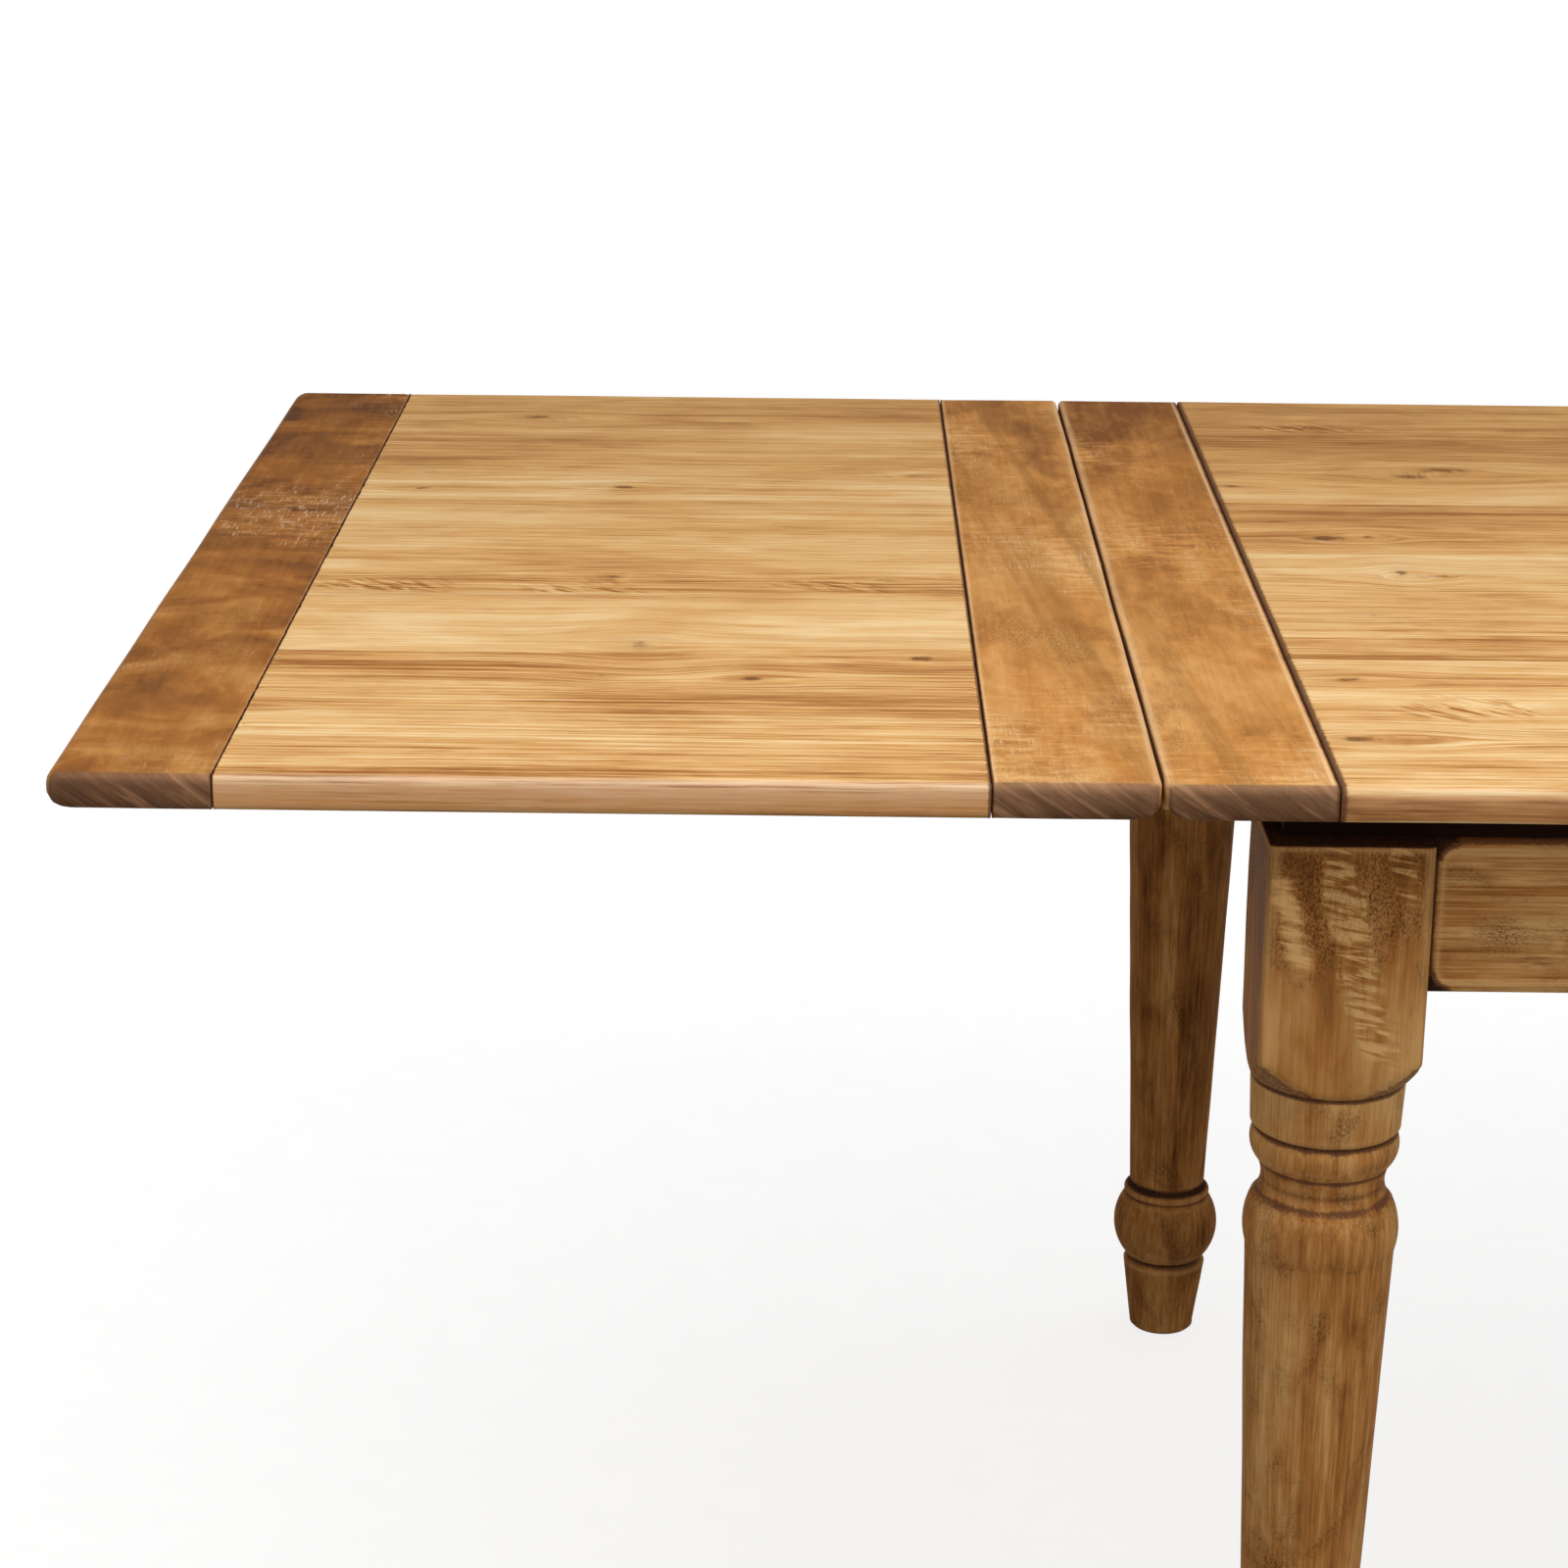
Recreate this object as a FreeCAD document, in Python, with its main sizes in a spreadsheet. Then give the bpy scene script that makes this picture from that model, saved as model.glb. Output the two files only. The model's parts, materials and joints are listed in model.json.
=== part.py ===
# Extending dining table: a boarded fixed top on a frame with four turned legs, and a loose boarded
# leaf at each end that rests on pull-out runners.
# Millimetres. Origin on the floor at the centre of the table, +X along its length, +Z up.

import FreeCAD
import Part
import Sketcher
import math
import os
import re

doc = FreeCAD.newDocument("extending_dining_table")
sheet = doc.addObject("Spreadsheet::Sheet", "sizes")

# Driving sizes

SIZES = [
    ("table_height", 770),
    ("main_length", 1504),
    ("leaf_length", 604),
    ("top_width", 1000),
    ("top_thick", 21),
    ("leaf_gap", 1),
    # boards and breadboard ends
    ("end_width", 92),
    ("main_end_width", 94),
    ("corner_round", 12),
    ("inner_corner_round", 5),
    ("top_edge_round", 6),
    ("under_edge_round", 4),
    ("seam_round", 2),
    ("seam_gap", 1),
    ("tongue_length", 18),
    ("tongue_thick", 7),
    ("tongue_height", 7),
    ("tongue_setback", 35),
    ("groove_play", 0.3),
    ("groove_end_play", 2),
    # parts that the boards take of the top's width, from the near edge
    ("main_part_1", 118),
    ("main_part_2", 135),
    ("main_part_3", 107),
    ("main_part_4", 157),
    ("main_part_5", 136),
    ("main_part_6", 139),
    ("main_part_7", 98),
    ("main_part_8", 110),
    ("leaf_part_1", 187),
    ("leaf_part_2", 62),
    ("leaf_part_3", 129),
    ("leaf_part_4", 61),
    ("leaf_part_5", 203),
    ("leaf_part_6", 72),
    ("leaf_part_7", 189),
    ("leaf_part_8", 97),
    # locating dowels of a leaf
    ("dowel_width", 10),
    ("dowel_seat", 25),
    ("dowel_reach", 18),
    ("dowel_inset", 150),
    ("dowel_play", 0.3),
    ("socket_end_play", 2),
    # frame
    ("frame_gap", 21),
    ("side_overhang", 25),
    ("end_overhang", 60),
    ("apron_thick", 25),
    ("apron_height", 91),
    ("apron_setback", 14),
    ("end_apron_setback", 34),
    ("apron_round", 7),
    ("tenon_thick", 10),
    ("tenon_length", 40),
    ("tenon_shoulder", 12),
    ("tenon_play", 0.1),
    ("mortise_end_play", 1),
    ("rail_place", 80),
    ("rail_width", 60),
    ("rail_thick", 22),
    ("stub_length", 12),
    ("stub_width", 40),
    ("stub_thick", 10),
    # legs
    ("head_width", 92),
    ("head_height", 127),
    ("head_edge_round", 4),
    ("head_top_round", 2),
    ("blank_allowance", 5),
    ("neck_radius", 44.5),
    ("neck_foot_radius", 43.2),
    ("groove_radius", 40.5),
    ("ring_curve", 17.2),
    ("step_radius", 37.5),
    ("cove_radius", 36.8),
    ("cove_curve", 19.5),
    ("cove_foot_radius", 40.6),
    ("bulge_radius", 41),
    ("bulge_curve", 41.5),
    ("shaft_radius", 43.2),
    ("ankle_radius", 30.8),
    ("flare_curve", 11.4),
    ("collar_radius", 32.4),
    ("collar_curve", 3.6),
    ("ball_top_radius", 33.5),
    ("ball_curve", 42),
    ("ball_foot_radius", 32),
    ("quirk_radius", 29),
    ("toe_radius", 33.5),
    ("foot_radius", 26),
    ("foot_easing", 2),
    ("shoulder_drop", 24.4),
    ("neck_drop", 53),
    ("groove_drop", 55.5),
    ("ring_drop", 77),
    ("step_drop", 80),
    ("cove_drop", 100),
    ("bulge_drop", 130),
    ("ankle_height", 134),
    ("flare_height", 126.5),
    ("collar_height", 120),
    ("ball_foot_height", 66),
    ("quirk_height", 63.5),
    ("toe_height", 59),
    # bearers, guides and runners
    ("bearer_width", 40),
    ("bearer_setback", 6),
    ("bearer_end_setback", 10),
    ("guide_width", 34),
    ("guide_end_setback", 2),
    ("guide_inset", 70),
    ("runner_width", 50),
    ("runner_length", 900),
    ("runner_reach", 503),
    ("runner_play", 0.3),
    ("runner_side_play", 0.5),
    ("runner_edge_round", 3),
    ("peg_width", 12),
    ("peg_seat", 14),
    ("peg_drop", 18),
    ("peg_play", 0.1),
    ("stop_play", 0.3),
    # wood screws
    ("screw_width", 4.5),
    ("screw_head_width", 9),
    ("screw_head_height", 3),
    ("screw_play", 0.2),
    ("screw_bite", 24),
    ("top_screw_bite", 12),
    ("screw_end_play", 1),
    ("bore_depth", 6),
    ("screw_inset", 60),
]

BOARDS = range(1, 9)

# Sizes that follow from the others

DERIVED = [
    ("main_parts", " + ".join(f"main_part_{number}" for number in BOARDS)),
    ("leaf_parts", " + ".join(f"leaf_part_{number}" for number in BOARDS)),
    *((f"main_board_{number}", f"top_width * main_part_{number} / main_parts") for number in BOARDS),
    *((f"leaf_board_{number}", f"top_width * leaf_part_{number} / leaf_parts") for number in BOARDS),
    ("top_underside", "table_height - top_thick"),
    ("frame_top", "top_underside - frame_gap"),
    ("main_end", "main_length / 2"),
    ("leaf_start", "main_end + leaf_gap"),
    ("leaf_end", "leaf_start + leaf_length"),
    ("leaf_middle", "leaf_start + leaf_length / 2"),
    ("main_boards_length", "main_length - 2 * main_end_width - 2 * seam_gap"),
    ("leaf_boards_length", "leaf_length - 2 * end_width - 2 * seam_gap"),
    ("leg_x", "main_end - end_overhang - head_width / 2"),
    ("leg_y", "top_width / 2 - side_overhang - head_width / 2"),
    ("long_apron_face", "top_width / 2 - side_overhang - apron_setback"),
    ("end_apron_face", "main_end - end_overhang - end_apron_setback"),
    ("long_apron_inside", "long_apron_face - apron_thick"),
    ("end_apron_inside", "end_apron_face - apron_thick"),
    ("long_apron_length", "2 * leg_x - head_width"),
    ("end_apron_length", "2 * leg_y - head_width"),
    ("turning_top", "frame_top - head_height"),
    ("head_corner", "head_width * sqrt(2) / 2"),
    ("blank_radius", "head_corner + blank_allowance"),
    ("blank_drop", "shoulder_drop * (blank_radius - head_corner) / (head_corner - neck_radius)"),
    ("runner_thick", "frame_gap - 2 * runner_play"),
    ("runner_tip", "main_end + runner_reach"),
    ("peg_place", "runner_tip - end_apron_inside + stop_play + peg_width / 2"),
    ("apron_screw_x", "end_apron_face - apron_thick / 2"),
    ("bearer_face", "long_apron_face - bearer_setback"),
    ("bearer_length", "2 * (main_end - end_overhang - bearer_end_setback)"),
    ("outer_guide_y", "bearer_face - bearer_width - guide_inset - guide_width / 2"),
    ("outer_runner_y", "outer_guide_y - guide_width / 2 - runner_side_play - runner_width / 2"),
    ("inner_runner_y", "outer_runner_y - runner_width - runner_side_play"),
    ("inner_guide_y", "inner_runner_y - runner_width / 2 - runner_side_play - guide_width / 2"),
    ("apron_screw_y", "(bearer_face + long_apron_inside) / 2"),
    ("top_screw_y", "(bearer_face - bearer_width + long_apron_inside) / 2"),
    ("dowel_y", "top_width / 2 - dowel_inset"),
    ("screw_x", "long_apron_length / 2 - screw_inset"),
    ("screw_hole", "screw_width + 2 * screw_play"),
    ("bore_width", "screw_head_width + 2 * screw_play"),
]

NAMES = {name for name, _ in SIZES + DERIVED}


def named(text, prefix):
    """Writes an expression in size names with the prefix that the names need."""
    return re.sub(r"[a-z_]\w*", lambda word: prefix + word[0] if word[0] in NAMES else word[0], text)


row = 0
for name, value in SIZES + DERIVED:
    row += 1
    content = str(value) if not isinstance(value, str) else "=" + value
    sheet.set(f"A{row}", name)
    sheet.set(f"B{row}", content)
    sheet.setAlias(f"B{row}", name)
doc.recompute()


def expression(text):
    return named(text, "sizes.")


def size(text):
    """The present value of an expression in size names."""
    return float(sheet.evalExpression(named(text, "")))


# Tools for building bodies

def new_body(label, x="0", y="0", z="0", quarters=0):
    """Body at a place given in size names, turned about the upright axis by quarter turns."""
    body = doc.addObject("PartDesign::Body", label)
    body.Label = label
    turn = FreeCAD.Rotation(FreeCAD.Vector(0, 0, 1), 90 * quarters)
    body.Placement = FreeCAD.Placement(FreeCAD.Vector(), turn)
    for axis, text in (("x", x), ("y", y), ("z", z)):
        body.setExpression("Placement.Base." + axis, expression(text))
    return body


def new_sketch(body, name, plane, offset=None):
    """Sketch on one of the body's own origin planes, lifted along the plane's normal by offset."""
    sketch = body.newObject("Sketcher::SketchObject", body.Label + "_" + name)
    support = [feature for feature in body.Origin.OriginFeatures if feature.Role == plane + "_Plane"]
    sketch.AttachmentSupport = [(support[0], "")]
    sketch.MapMode = "FlatFace"
    if offset:
        sketch.setExpression("AttachmentOffset.Base.z", expression(offset))
    return sketch


def dimension(sketch, kind, *where, text):
    """Adds a dimension that follows an expression in size names."""
    index = sketch.addConstraint(Sketcher.Constraint(kind, *where, size(text)))
    sketch.setExpression(f"Constraints[{index}]", expression(text))


def arc_between(start, end, radius):
    """Counter-clockwise arc from start to end that is less than half a circle."""
    chord = end - start
    rise = math.sqrt(radius ** 2 - (chord.Length / 2) ** 2)
    across = FreeCAD.Vector(-chord.y, chord.x, 0).normalize()
    centre = (start + end) / 2 + across * rise
    first = math.atan2(start.y - centre.y, start.x - centre.x)
    last = math.atan2(end.y - centre.y, end.x - centre.x)
    circle = Part.Circle(centre, FreeCAD.Vector(0, 0, 1), radius)
    return Part.ArcOfCircle(circle, first, last if last > first else last + 2 * math.pi)


def outline(sketch, points, curves=None):
    """Closed outline through points given as pairs of expressions.

    curves maps the number of a point to (radius, bulges): the side from it to the next point is an arc,
    which bulges to the left of the way round or to the right of it.
    """
    curves = curves or {}
    corners = [FreeCAD.Vector(size(x), size(y), 0) for x, y in points]
    sides = []
    for number, corner in enumerate(corners):
        following = corners[(number + 1) % len(corners)]
        if number not in curves:
            geometry = Part.LineSegment(corner, following)
            ends = (1, 2)
        elif curves[number][1] == "right":
            geometry = arc_between(corner, following, size(curves[number][0]))
            ends = (1, 2)
        else:
            geometry = arc_between(following, corner, size(curves[number][0]))
            ends = (2, 1)
        sides.append((sketch.addGeometry(geometry), ends))
    for number, (side, ends) in enumerate(sides):
        following, next_ends = sides[(number + 1) % len(sides)]
        sketch.addConstraint(Sketcher.Constraint("Coincident", side, ends[1], following, next_ends[0]))
    for (side, ends), (x, y) in zip(sides, points):
        dimension(sketch, "DistanceX", -1, 1, side, ends[0], text=x)
        dimension(sketch, "DistanceY", -1, 1, side, ends[0], text=y)
    for number, (radius, _) in curves.items():
        dimension(sketch, "Radius", sides[number][0], text=radius)
    return sketch


def rectangle(sketch, x0, x1, y0, y1):
    return outline(sketch, [(x0, y0), (x1, y0), (x1, y1), (x0, y1)])


def circles(sketch, centres, diameter):
    for x, y in centres:
        place = FreeCAD.Vector(size(x), size(y), 0)
        circle = Part.Circle(place, FreeCAD.Vector(0, 0, 1), size(diameter) / 2)
        ring = sketch.addGeometry(circle)
        dimension(sketch, "DistanceX", -1, 1, ring, 3, text=x)
        dimension(sketch, "DistanceY", -1, 1, ring, 3, text=y)
        dimension(sketch, "Diameter", ring, text=diameter)
    return sketch


def extrude(kind, sketch, length, symmetric=False, flipped=False):
    body = sketch.getParentGeoFeatureGroup()
    feature = body.newObject("PartDesign::" + kind, f"{sketch.Name}_{kind.lower()}")
    feature.Profile = sketch
    feature.SideType = "Symmetric" if symmetric else "One side"
    feature.Reversed = flipped
    feature.setExpression("Length", expression(length))
    sketch.Visibility = False
    doc.recompute()
    return feature


def pad(sketch, length, **options):
    return extrude("Pad", sketch, length, **options)


def pocket(sketch, length, **options):
    body = sketch.getParentGeoFeatureGroup()
    before = body.Shape.Volume
    feature = extrude("Pocket", sketch, length, **options)
    if body.Shape.Volume > before - 1:
        raise ValueError(sketch.Name + " cuts nothing away")
    return feature


def middle_of(edge):
    return edge.valueAt((edge.FirstParameter + edge.LastParameter) / 2)


def round_edges(body, name, radius, wanted):
    """Rounds the edges whose middle point passes the test."""
    base = body.Tip
    edges = [f"Edge{number + 1}" for number, edge in enumerate(base.Shape.Edges) if wanted(middle_of(edge))]
    if not edges:
        raise ValueError(f"{body.Label} has no edges for {name}")
    feature = body.newObject("PartDesign::Fillet", body.Label + "_" + name)
    feature.Base = (base, edges)
    feature.setExpression("Radius", expression(radius))
    doc.recompute()
    return feature


def near(a, text):
    return abs(a - size(text)) < 0.001


def both_sides(text):
    return ("-(" + text + ")", text)


nodes = []


# Tops: boards with a tongue at each end, and breadboard ends with a stopped groove

def board(label, x, y, width, length, outer_edge=None, quarters=0, screws=()):
    """Board with its length along X about its middle and its width along Y from 0."""
    body = new_body(label, x, y, "top_underside", quarters)
    pad(rectangle(new_sketch(body, "section", "YZ"), "0", width, "0", "top_thick"), length, symmetric=True)
    near_side, far_side = "0", width
    if outer_edge == "near":
        near_side = "tongue_setback"
        outside = "0"
    if outer_edge == "far":
        far_side = width + " - tongue_setback"
        outside = width
    if outer_edge:
        round_edges(body, "top_edge", "top_edge_round",
                    lambda p: near(p.y, outside) and near(p.z, "top_thick"))
        round_edges(body, "under_edge", "under_edge_round", lambda p: near(p.y, outside) and near(p.z, "0"))
    glued = [side for side, edge in (("0", "near"), (width, "far")) if edge != outer_edge]
    half = "(" + length + ") / 2"
    round_edges(body, "shoulders", "seam_round",
                lambda p: near(abs(p.x), half) and not any(near(p.y, side) for side in glued))
    tongue = rectangle(new_sketch(body, "tongue", "YZ"), near_side, far_side,
                       "tongue_height", "tongue_height + tongue_thick")
    pad(tongue, length + " + 2 * seam_gap + 2 * tongue_length", symmetric=True)
    if screws:
        pilots = circles(new_sketch(body, "pilots", "XY"), screws, "screw_hole")
        pocket(pilots, "top_screw_bite + screw_end_play", flipped=True)
    nodes.append(body)


def breadboard(label, x, width, quarters, corners, hole=None):
    """Breadboard end with its seam face at X = 0 and its finished edge at X = width."""
    body = new_body(label, x, "0", "top_underside", quarters)
    plan = rectangle(new_sketch(body, "plan", "XY"), "0", width, *both_sides("top_width / 2"))
    pad(plan, "top_thick")
    round_edges(body, "corners", corners,
                lambda p: near(p.x, width) and near(abs(p.y), "top_width / 2"))
    round_edges(body, "top_edge", "top_edge_round", lambda p: near(p.z, "top_thick") and p.x > 0.001)
    round_edges(body, "under_edge", "under_edge_round", lambda p: near(p.z, "0") and p.x > 0.001)
    round_edges(body, "seam", "seam_round", lambda p: near(p.x, "0"))
    groove = rectangle(new_sketch(body, "groove", "YZ"),
                       *both_sides("top_width / 2 - tongue_setback + groove_end_play"),
                       "tongue_height", "tongue_height + tongue_thick + groove_play")
    pocket(groove, "tongue_length + groove_end_play", flipped=True)
    if hole:
        hole_width, depth = hole
        centres = [(y, "top_thick / 2") for y in ("-dowel_y", "0", "dowel_y")]
        pocket(circles(new_sketch(body, "dowel_holes", "YZ", width), centres, hole_width), depth)
    nodes.append(body)


def meets(screw_y, width):
    """Whether a screw at this distance from the edge of a board goes into the board."""
    radius = size("screw_hole / 2")
    return -radius < size(screw_y) < size(width) + radius


def boards_of(panel, x, length, quarters=0, screws=()):
    """Row of boards edge to edge across the top, starting at the near edge of the panel."""
    kind = "main" if panel == "main" else "leaf"
    start = "-top_width / 2"
    for number in BOARDS:
        width = f"{kind}_board_{number}"
        place = start if quarters == 0 else "-(" + start + ")"
        outer_edge = {BOARDS[0]: "near", BOARDS[-1]: "far"}.get(number)
        pilots = [(screw_x, f"{screw_y} - ({start})") for screw_x, screw_y in screws]
        pilots = [(screw_x, screw_y) for screw_x, screw_y in pilots if meets(screw_y, width)]
        board(f"{panel}_board_{number}", x, place, width, length, outer_edge, quarters, pilots)
        start += " + " + width


screw_xs = ("-screw_x", "-screw_x / 3", "screw_x / 3", "screw_x")
top_screw_places = [(x, y) for x in screw_xs for y in both_sides("top_screw_y")]
socket = ("dowel_width + 2 * dowel_play", "dowel_reach - leaf_gap + socket_end_play")
seat = ("dowel_width", "dowel_seat")

boards_of("main", "0", "main_boards_length", screws=top_screw_places)
breadboard("main_end_left", "-main_end + main_end_width", "main_end_width", 2, "inner_corner_round", socket)
breadboard("main_end_right", "main_end - main_end_width", "main_end_width", 0, "inner_corner_round", socket)

for leaf, sign, quarters in (("left_leaf", "-", 0), ("right_leaf", "", 2)):
    boards_of(leaf, f"{sign}leaf_middle", "leaf_boards_length", quarters)
    breadboard(leaf + "_outer_end", f"{sign}(leaf_end - end_width)", "end_width", quarters + 2,
               "corner_round")
    breadboard(leaf + "_inner_end", f"{sign}(leaf_start + end_width)", "end_width", quarters,
               "inner_corner_round", seat)
    dowels = new_body(leaf + "_dowels", f"{sign}(leaf_start + dowel_seat)", "0", "top_underside", quarters)
    centres = [(y, "top_thick / 2") for y in ("-dowel_y", "0", "dowel_y")]
    pad(circles(new_sketch(dowels, "section", "YZ"), centres, "dowel_width"), "dowel_seat + dowel_reach")
    nodes.append(dowels)


# Legs: a square head on a turned shaft, with a mortise in each of the two inner faces

# outline of the turning from the top down, as radius and height, with the arcs that leave each point
LEG_OUTLINE = [
    ("0", "frame_top"),
    ("blank_radius", "frame_top"),
    ("blank_radius", "turning_top + blank_drop"),
    ("neck_radius", "turning_top - shoulder_drop"),
    ("neck_foot_radius", "turning_top - neck_drop"),
    ("groove_radius", "turning_top - groove_drop"),
    ("step_radius", "turning_top - ring_drop"),
    ("cove_radius", "turning_top - step_drop"),
    ("cove_foot_radius", "turning_top - cove_drop"),
    ("bulge_radius", "turning_top - cove_drop"),
    ("shaft_radius", "turning_top - bulge_drop"),
    ("ankle_radius", "ankle_height"),
    ("collar_radius", "flare_height"),
    ("ball_top_radius", "collar_height"),
    ("ball_foot_radius", "ball_foot_height"),
    ("quirk_radius", "quirk_height"),
    ("toe_radius", "toe_height"),
    ("foot_radius", "foot_easing"),
    ("foot_radius - foot_easing", "0"),
    ("0", "0"),
]
LEG_ARCS = {
    5: ("ring_curve", "left"),
    7: ("cove_curve", "right"),
    9: ("bulge_curve", "left"),
    11: ("flare_curve", "right"),
    12: ("collar_curve", "left"),
    13: ("ball_curve", "left"),
}


def leg(label, x, y, quarters):
    """Leg on its own axis, with its inner faces on +X and +Y."""
    body = new_body(label, x, y, "0", quarters)
    turning = outline(new_sketch(body, "turning", "XZ"), LEG_OUTLINE, LEG_ARCS)
    revolution = body.newObject("PartDesign::Revolution", label + "_revolution")
    revolution.Profile = turning
    revolution.ReferenceAxis = (turning, ["V_Axis"])
    revolution.Angle = 360
    turning.Visibility = False
    doc.recompute()

    # the waste round the square head comes away and leaves its rounded upright edges
    waste = new_sketch(body, "waste", "XY", "turning_top - shoulder_drop")
    edge = both_sides("blank_radius + blank_allowance")
    rectangle(waste, *edge, *edge)
    low, high = both_sides("head_width / 2")
    low_in, high_in = both_sides("head_width / 2 - head_edge_round")
    square = [(low_in, low), (high_in, low), (high, low_in), (high, high_in),
              (high_in, high), (low_in, high), (low, high_in), (low, low_in)]
    outline(waste, square, {number: ("head_edge_round", "right") for number in (1, 3, 5, 7)})
    pocket(waste, "head_height + shoulder_drop", flipped=True)
    round_edges(body, "head_top", "head_top_round", lambda p: near(p.z, "frame_top"))

    # mortises in the two inner faces: on a leg turned by an odd quarter the end apron meets the +X face
    setbacks = ["apron_setback", "end_apron_setback"]
    if quarters % 2:
        setbacks.reverse()
    centres = [f"-head_width / 2 + {setback} + apron_thick / 2" for setback in setbacks]
    half_width = "tenon_thick / 2 + tenon_play"
    along_y, along_x = [(f"{centre} - ({half_width})", f"{centre} + {half_width}") for centre in centres]
    upright = ("frame_top - apron_height + tenon_shoulder - tenon_play",
               "frame_top - tenon_shoulder + tenon_play")
    depth = "tenon_length + mortise_end_play"
    x_mortise = rectangle(new_sketch(body, "x_mortise", "YZ", "head_width / 2"), *along_y, *upright)
    pocket(x_mortise, depth)
    y_mortise = rectangle(new_sketch(body, "y_mortise", "XZ", "-head_width / 2"), *along_x, *upright)
    pocket(y_mortise, depth, flipped=True)
    nodes.append(body)


leg("leg_front_left", "-leg_x", "-leg_y", 0)
leg("leg_front_right", "leg_x", "-leg_y", 1)
leg("leg_back_right", "leg_x", "leg_y", 2)
leg("leg_back_left", "-leg_x", "leg_y", 3)


# Aprons, tenoned into the legs, and cross rails between the long ones

def apron(label, x, y, quarters, length, screws, rails=()):
    """Apron with its length along X, its inner face at Y = 0 and its outer face at Y = -apron_thick."""
    body = new_body(label, x, y, "frame_top - apron_height", quarters)
    section = rectangle(new_sketch(body, "section", "YZ"), "-apron_thick", "0", "0", "apron_height")
    pad(section, length, symmetric=True)
    round_edges(body, "face_edges", "apron_round", lambda p: near(p.y, "-apron_thick"))
    tenon = rectangle(new_sketch(body, "tenons", "YZ"),
                      "-(apron_thick + tenon_thick) / 2", "-(apron_thick - tenon_thick) / 2",
                      "tenon_shoulder", "apron_height - tenon_shoulder")
    pad(tenon, length + " + 2 * tenon_length", symmetric=True)
    for number, place in enumerate(rails, start=1):
        stub = rectangle(new_sketch(body, f"stub_mortise_{number}", "XZ"),
                         f"{place} - stub_width / 2 - tenon_play", f"{place} + stub_width / 2 + tenon_play",
                         "apron_height - (rail_thick + stub_thick) / 2 - tenon_play",
                         "apron_height - (rail_thick - stub_thick) / 2 + tenon_play")
        pocket(stub, "stub_length + mortise_end_play", flipped=True)
    pilots = circles(new_sketch(body, "pilots", "XY", "apron_height"), screws, "screw_hole")
    pocket(pilots, "screw_bite + screw_end_play")
    nodes.append(body)


bearer_screws = [(x, "long_apron_inside - apron_screw_y") for x in screw_xs]
guide_ys = (*both_sides("outer_guide_y"), *both_sides("inner_guide_y"))
guide_xs = (*both_sides("apron_screw_x"), *both_sides("rail_place"))
end_screws = [(y, "-apron_thick / 2") for y in guide_ys]

rail_xs = both_sides("rail_place")
apron("apron_front", "0", "-long_apron_inside", 0, "long_apron_length", bearer_screws, rail_xs)
apron("apron_back", "0", "long_apron_inside", 2, "long_apron_length", bearer_screws, rail_xs)
apron("apron_left", "-end_apron_inside", "0", 3, "end_apron_length", end_screws)
apron("apron_right", "end_apron_inside", "0", 1, "end_apron_length", end_screws)

for label, place in (("cross_rail_left", "-rail_place"), ("cross_rail_right", "rail_place")):
    rail = new_body(label, place, "0", "frame_top - rail_thick")
    section = rectangle(new_sketch(rail, "section", "XZ"), *both_sides("rail_width / 2"), "0", "rail_thick")
    pad(section, "2 * long_apron_inside", symmetric=True)
    stub = rectangle(new_sketch(rail, "stub_tenons", "XZ"), *both_sides("stub_width / 2"),
                     "(rail_thick - stub_thick) / 2", "(rail_thick + stub_thick) / 2")
    pad(stub, "2 * long_apron_inside + 2 * stub_length", symmetric=True)
    pilots = circles(new_sketch(rail, "pilots", "XY"), [("0", y) for y in guide_ys], "screw_hole")
    pocket(pilots, "rail_thick", flipped=True)
    nodes.append(rail)


# Bearers and guide strips that hold the top clear of the frame

def strip(label, y, width, length, quarters, from_above, from_below=()):
    """Strip along X about its middle, as high as the clear space, with counterbored screw holes."""
    body = new_body(label, "0", y, "frame_top", quarters)
    section = rectangle(new_sketch(body, "section", "YZ"), *both_sides(width + " / 2"), "0", "frame_gap")
    pad(section, length, symmetric=True)
    holes = circles(new_sketch(body, "holes", "XY"), [*from_above, *from_below], "screw_hole")
    pocket(holes, "frame_gap", flipped=True)
    pocket(circles(new_sketch(body, "top_bores", "XY", "frame_gap"), from_above, "bore_width"), "bore_depth")
    if from_below:
        bores = circles(new_sketch(body, "under_bores", "XY"), from_below, "bore_width")
        pocket(bores, "bore_depth", flipped=True)
    nodes.append(body)


bearer_y = "bearer_face - bearer_width / 2"
down = [(x, f"-apron_screw_y + {bearer_y}") for x in screw_xs]
up = [(x, f"-top_screw_y + {bearer_y}") for x in screw_xs]
strip("bearer_front", f"-({bearer_y})", "bearer_width", "bearer_length", 0, down, up)
strip("bearer_back", bearer_y, "bearer_width", "bearer_length", 2, down, up)

guide_length = "2 * end_apron_face - 2 * guide_end_setback"
for label, y in zip(("front_outer", "back_outer", "front_inner", "back_inner"), guide_ys):
    strip("guide_" + label, y, "guide_width", guide_length, 0, [(x, "0") for x in guide_xs])


# Runners with a stop peg under the tail

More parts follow.
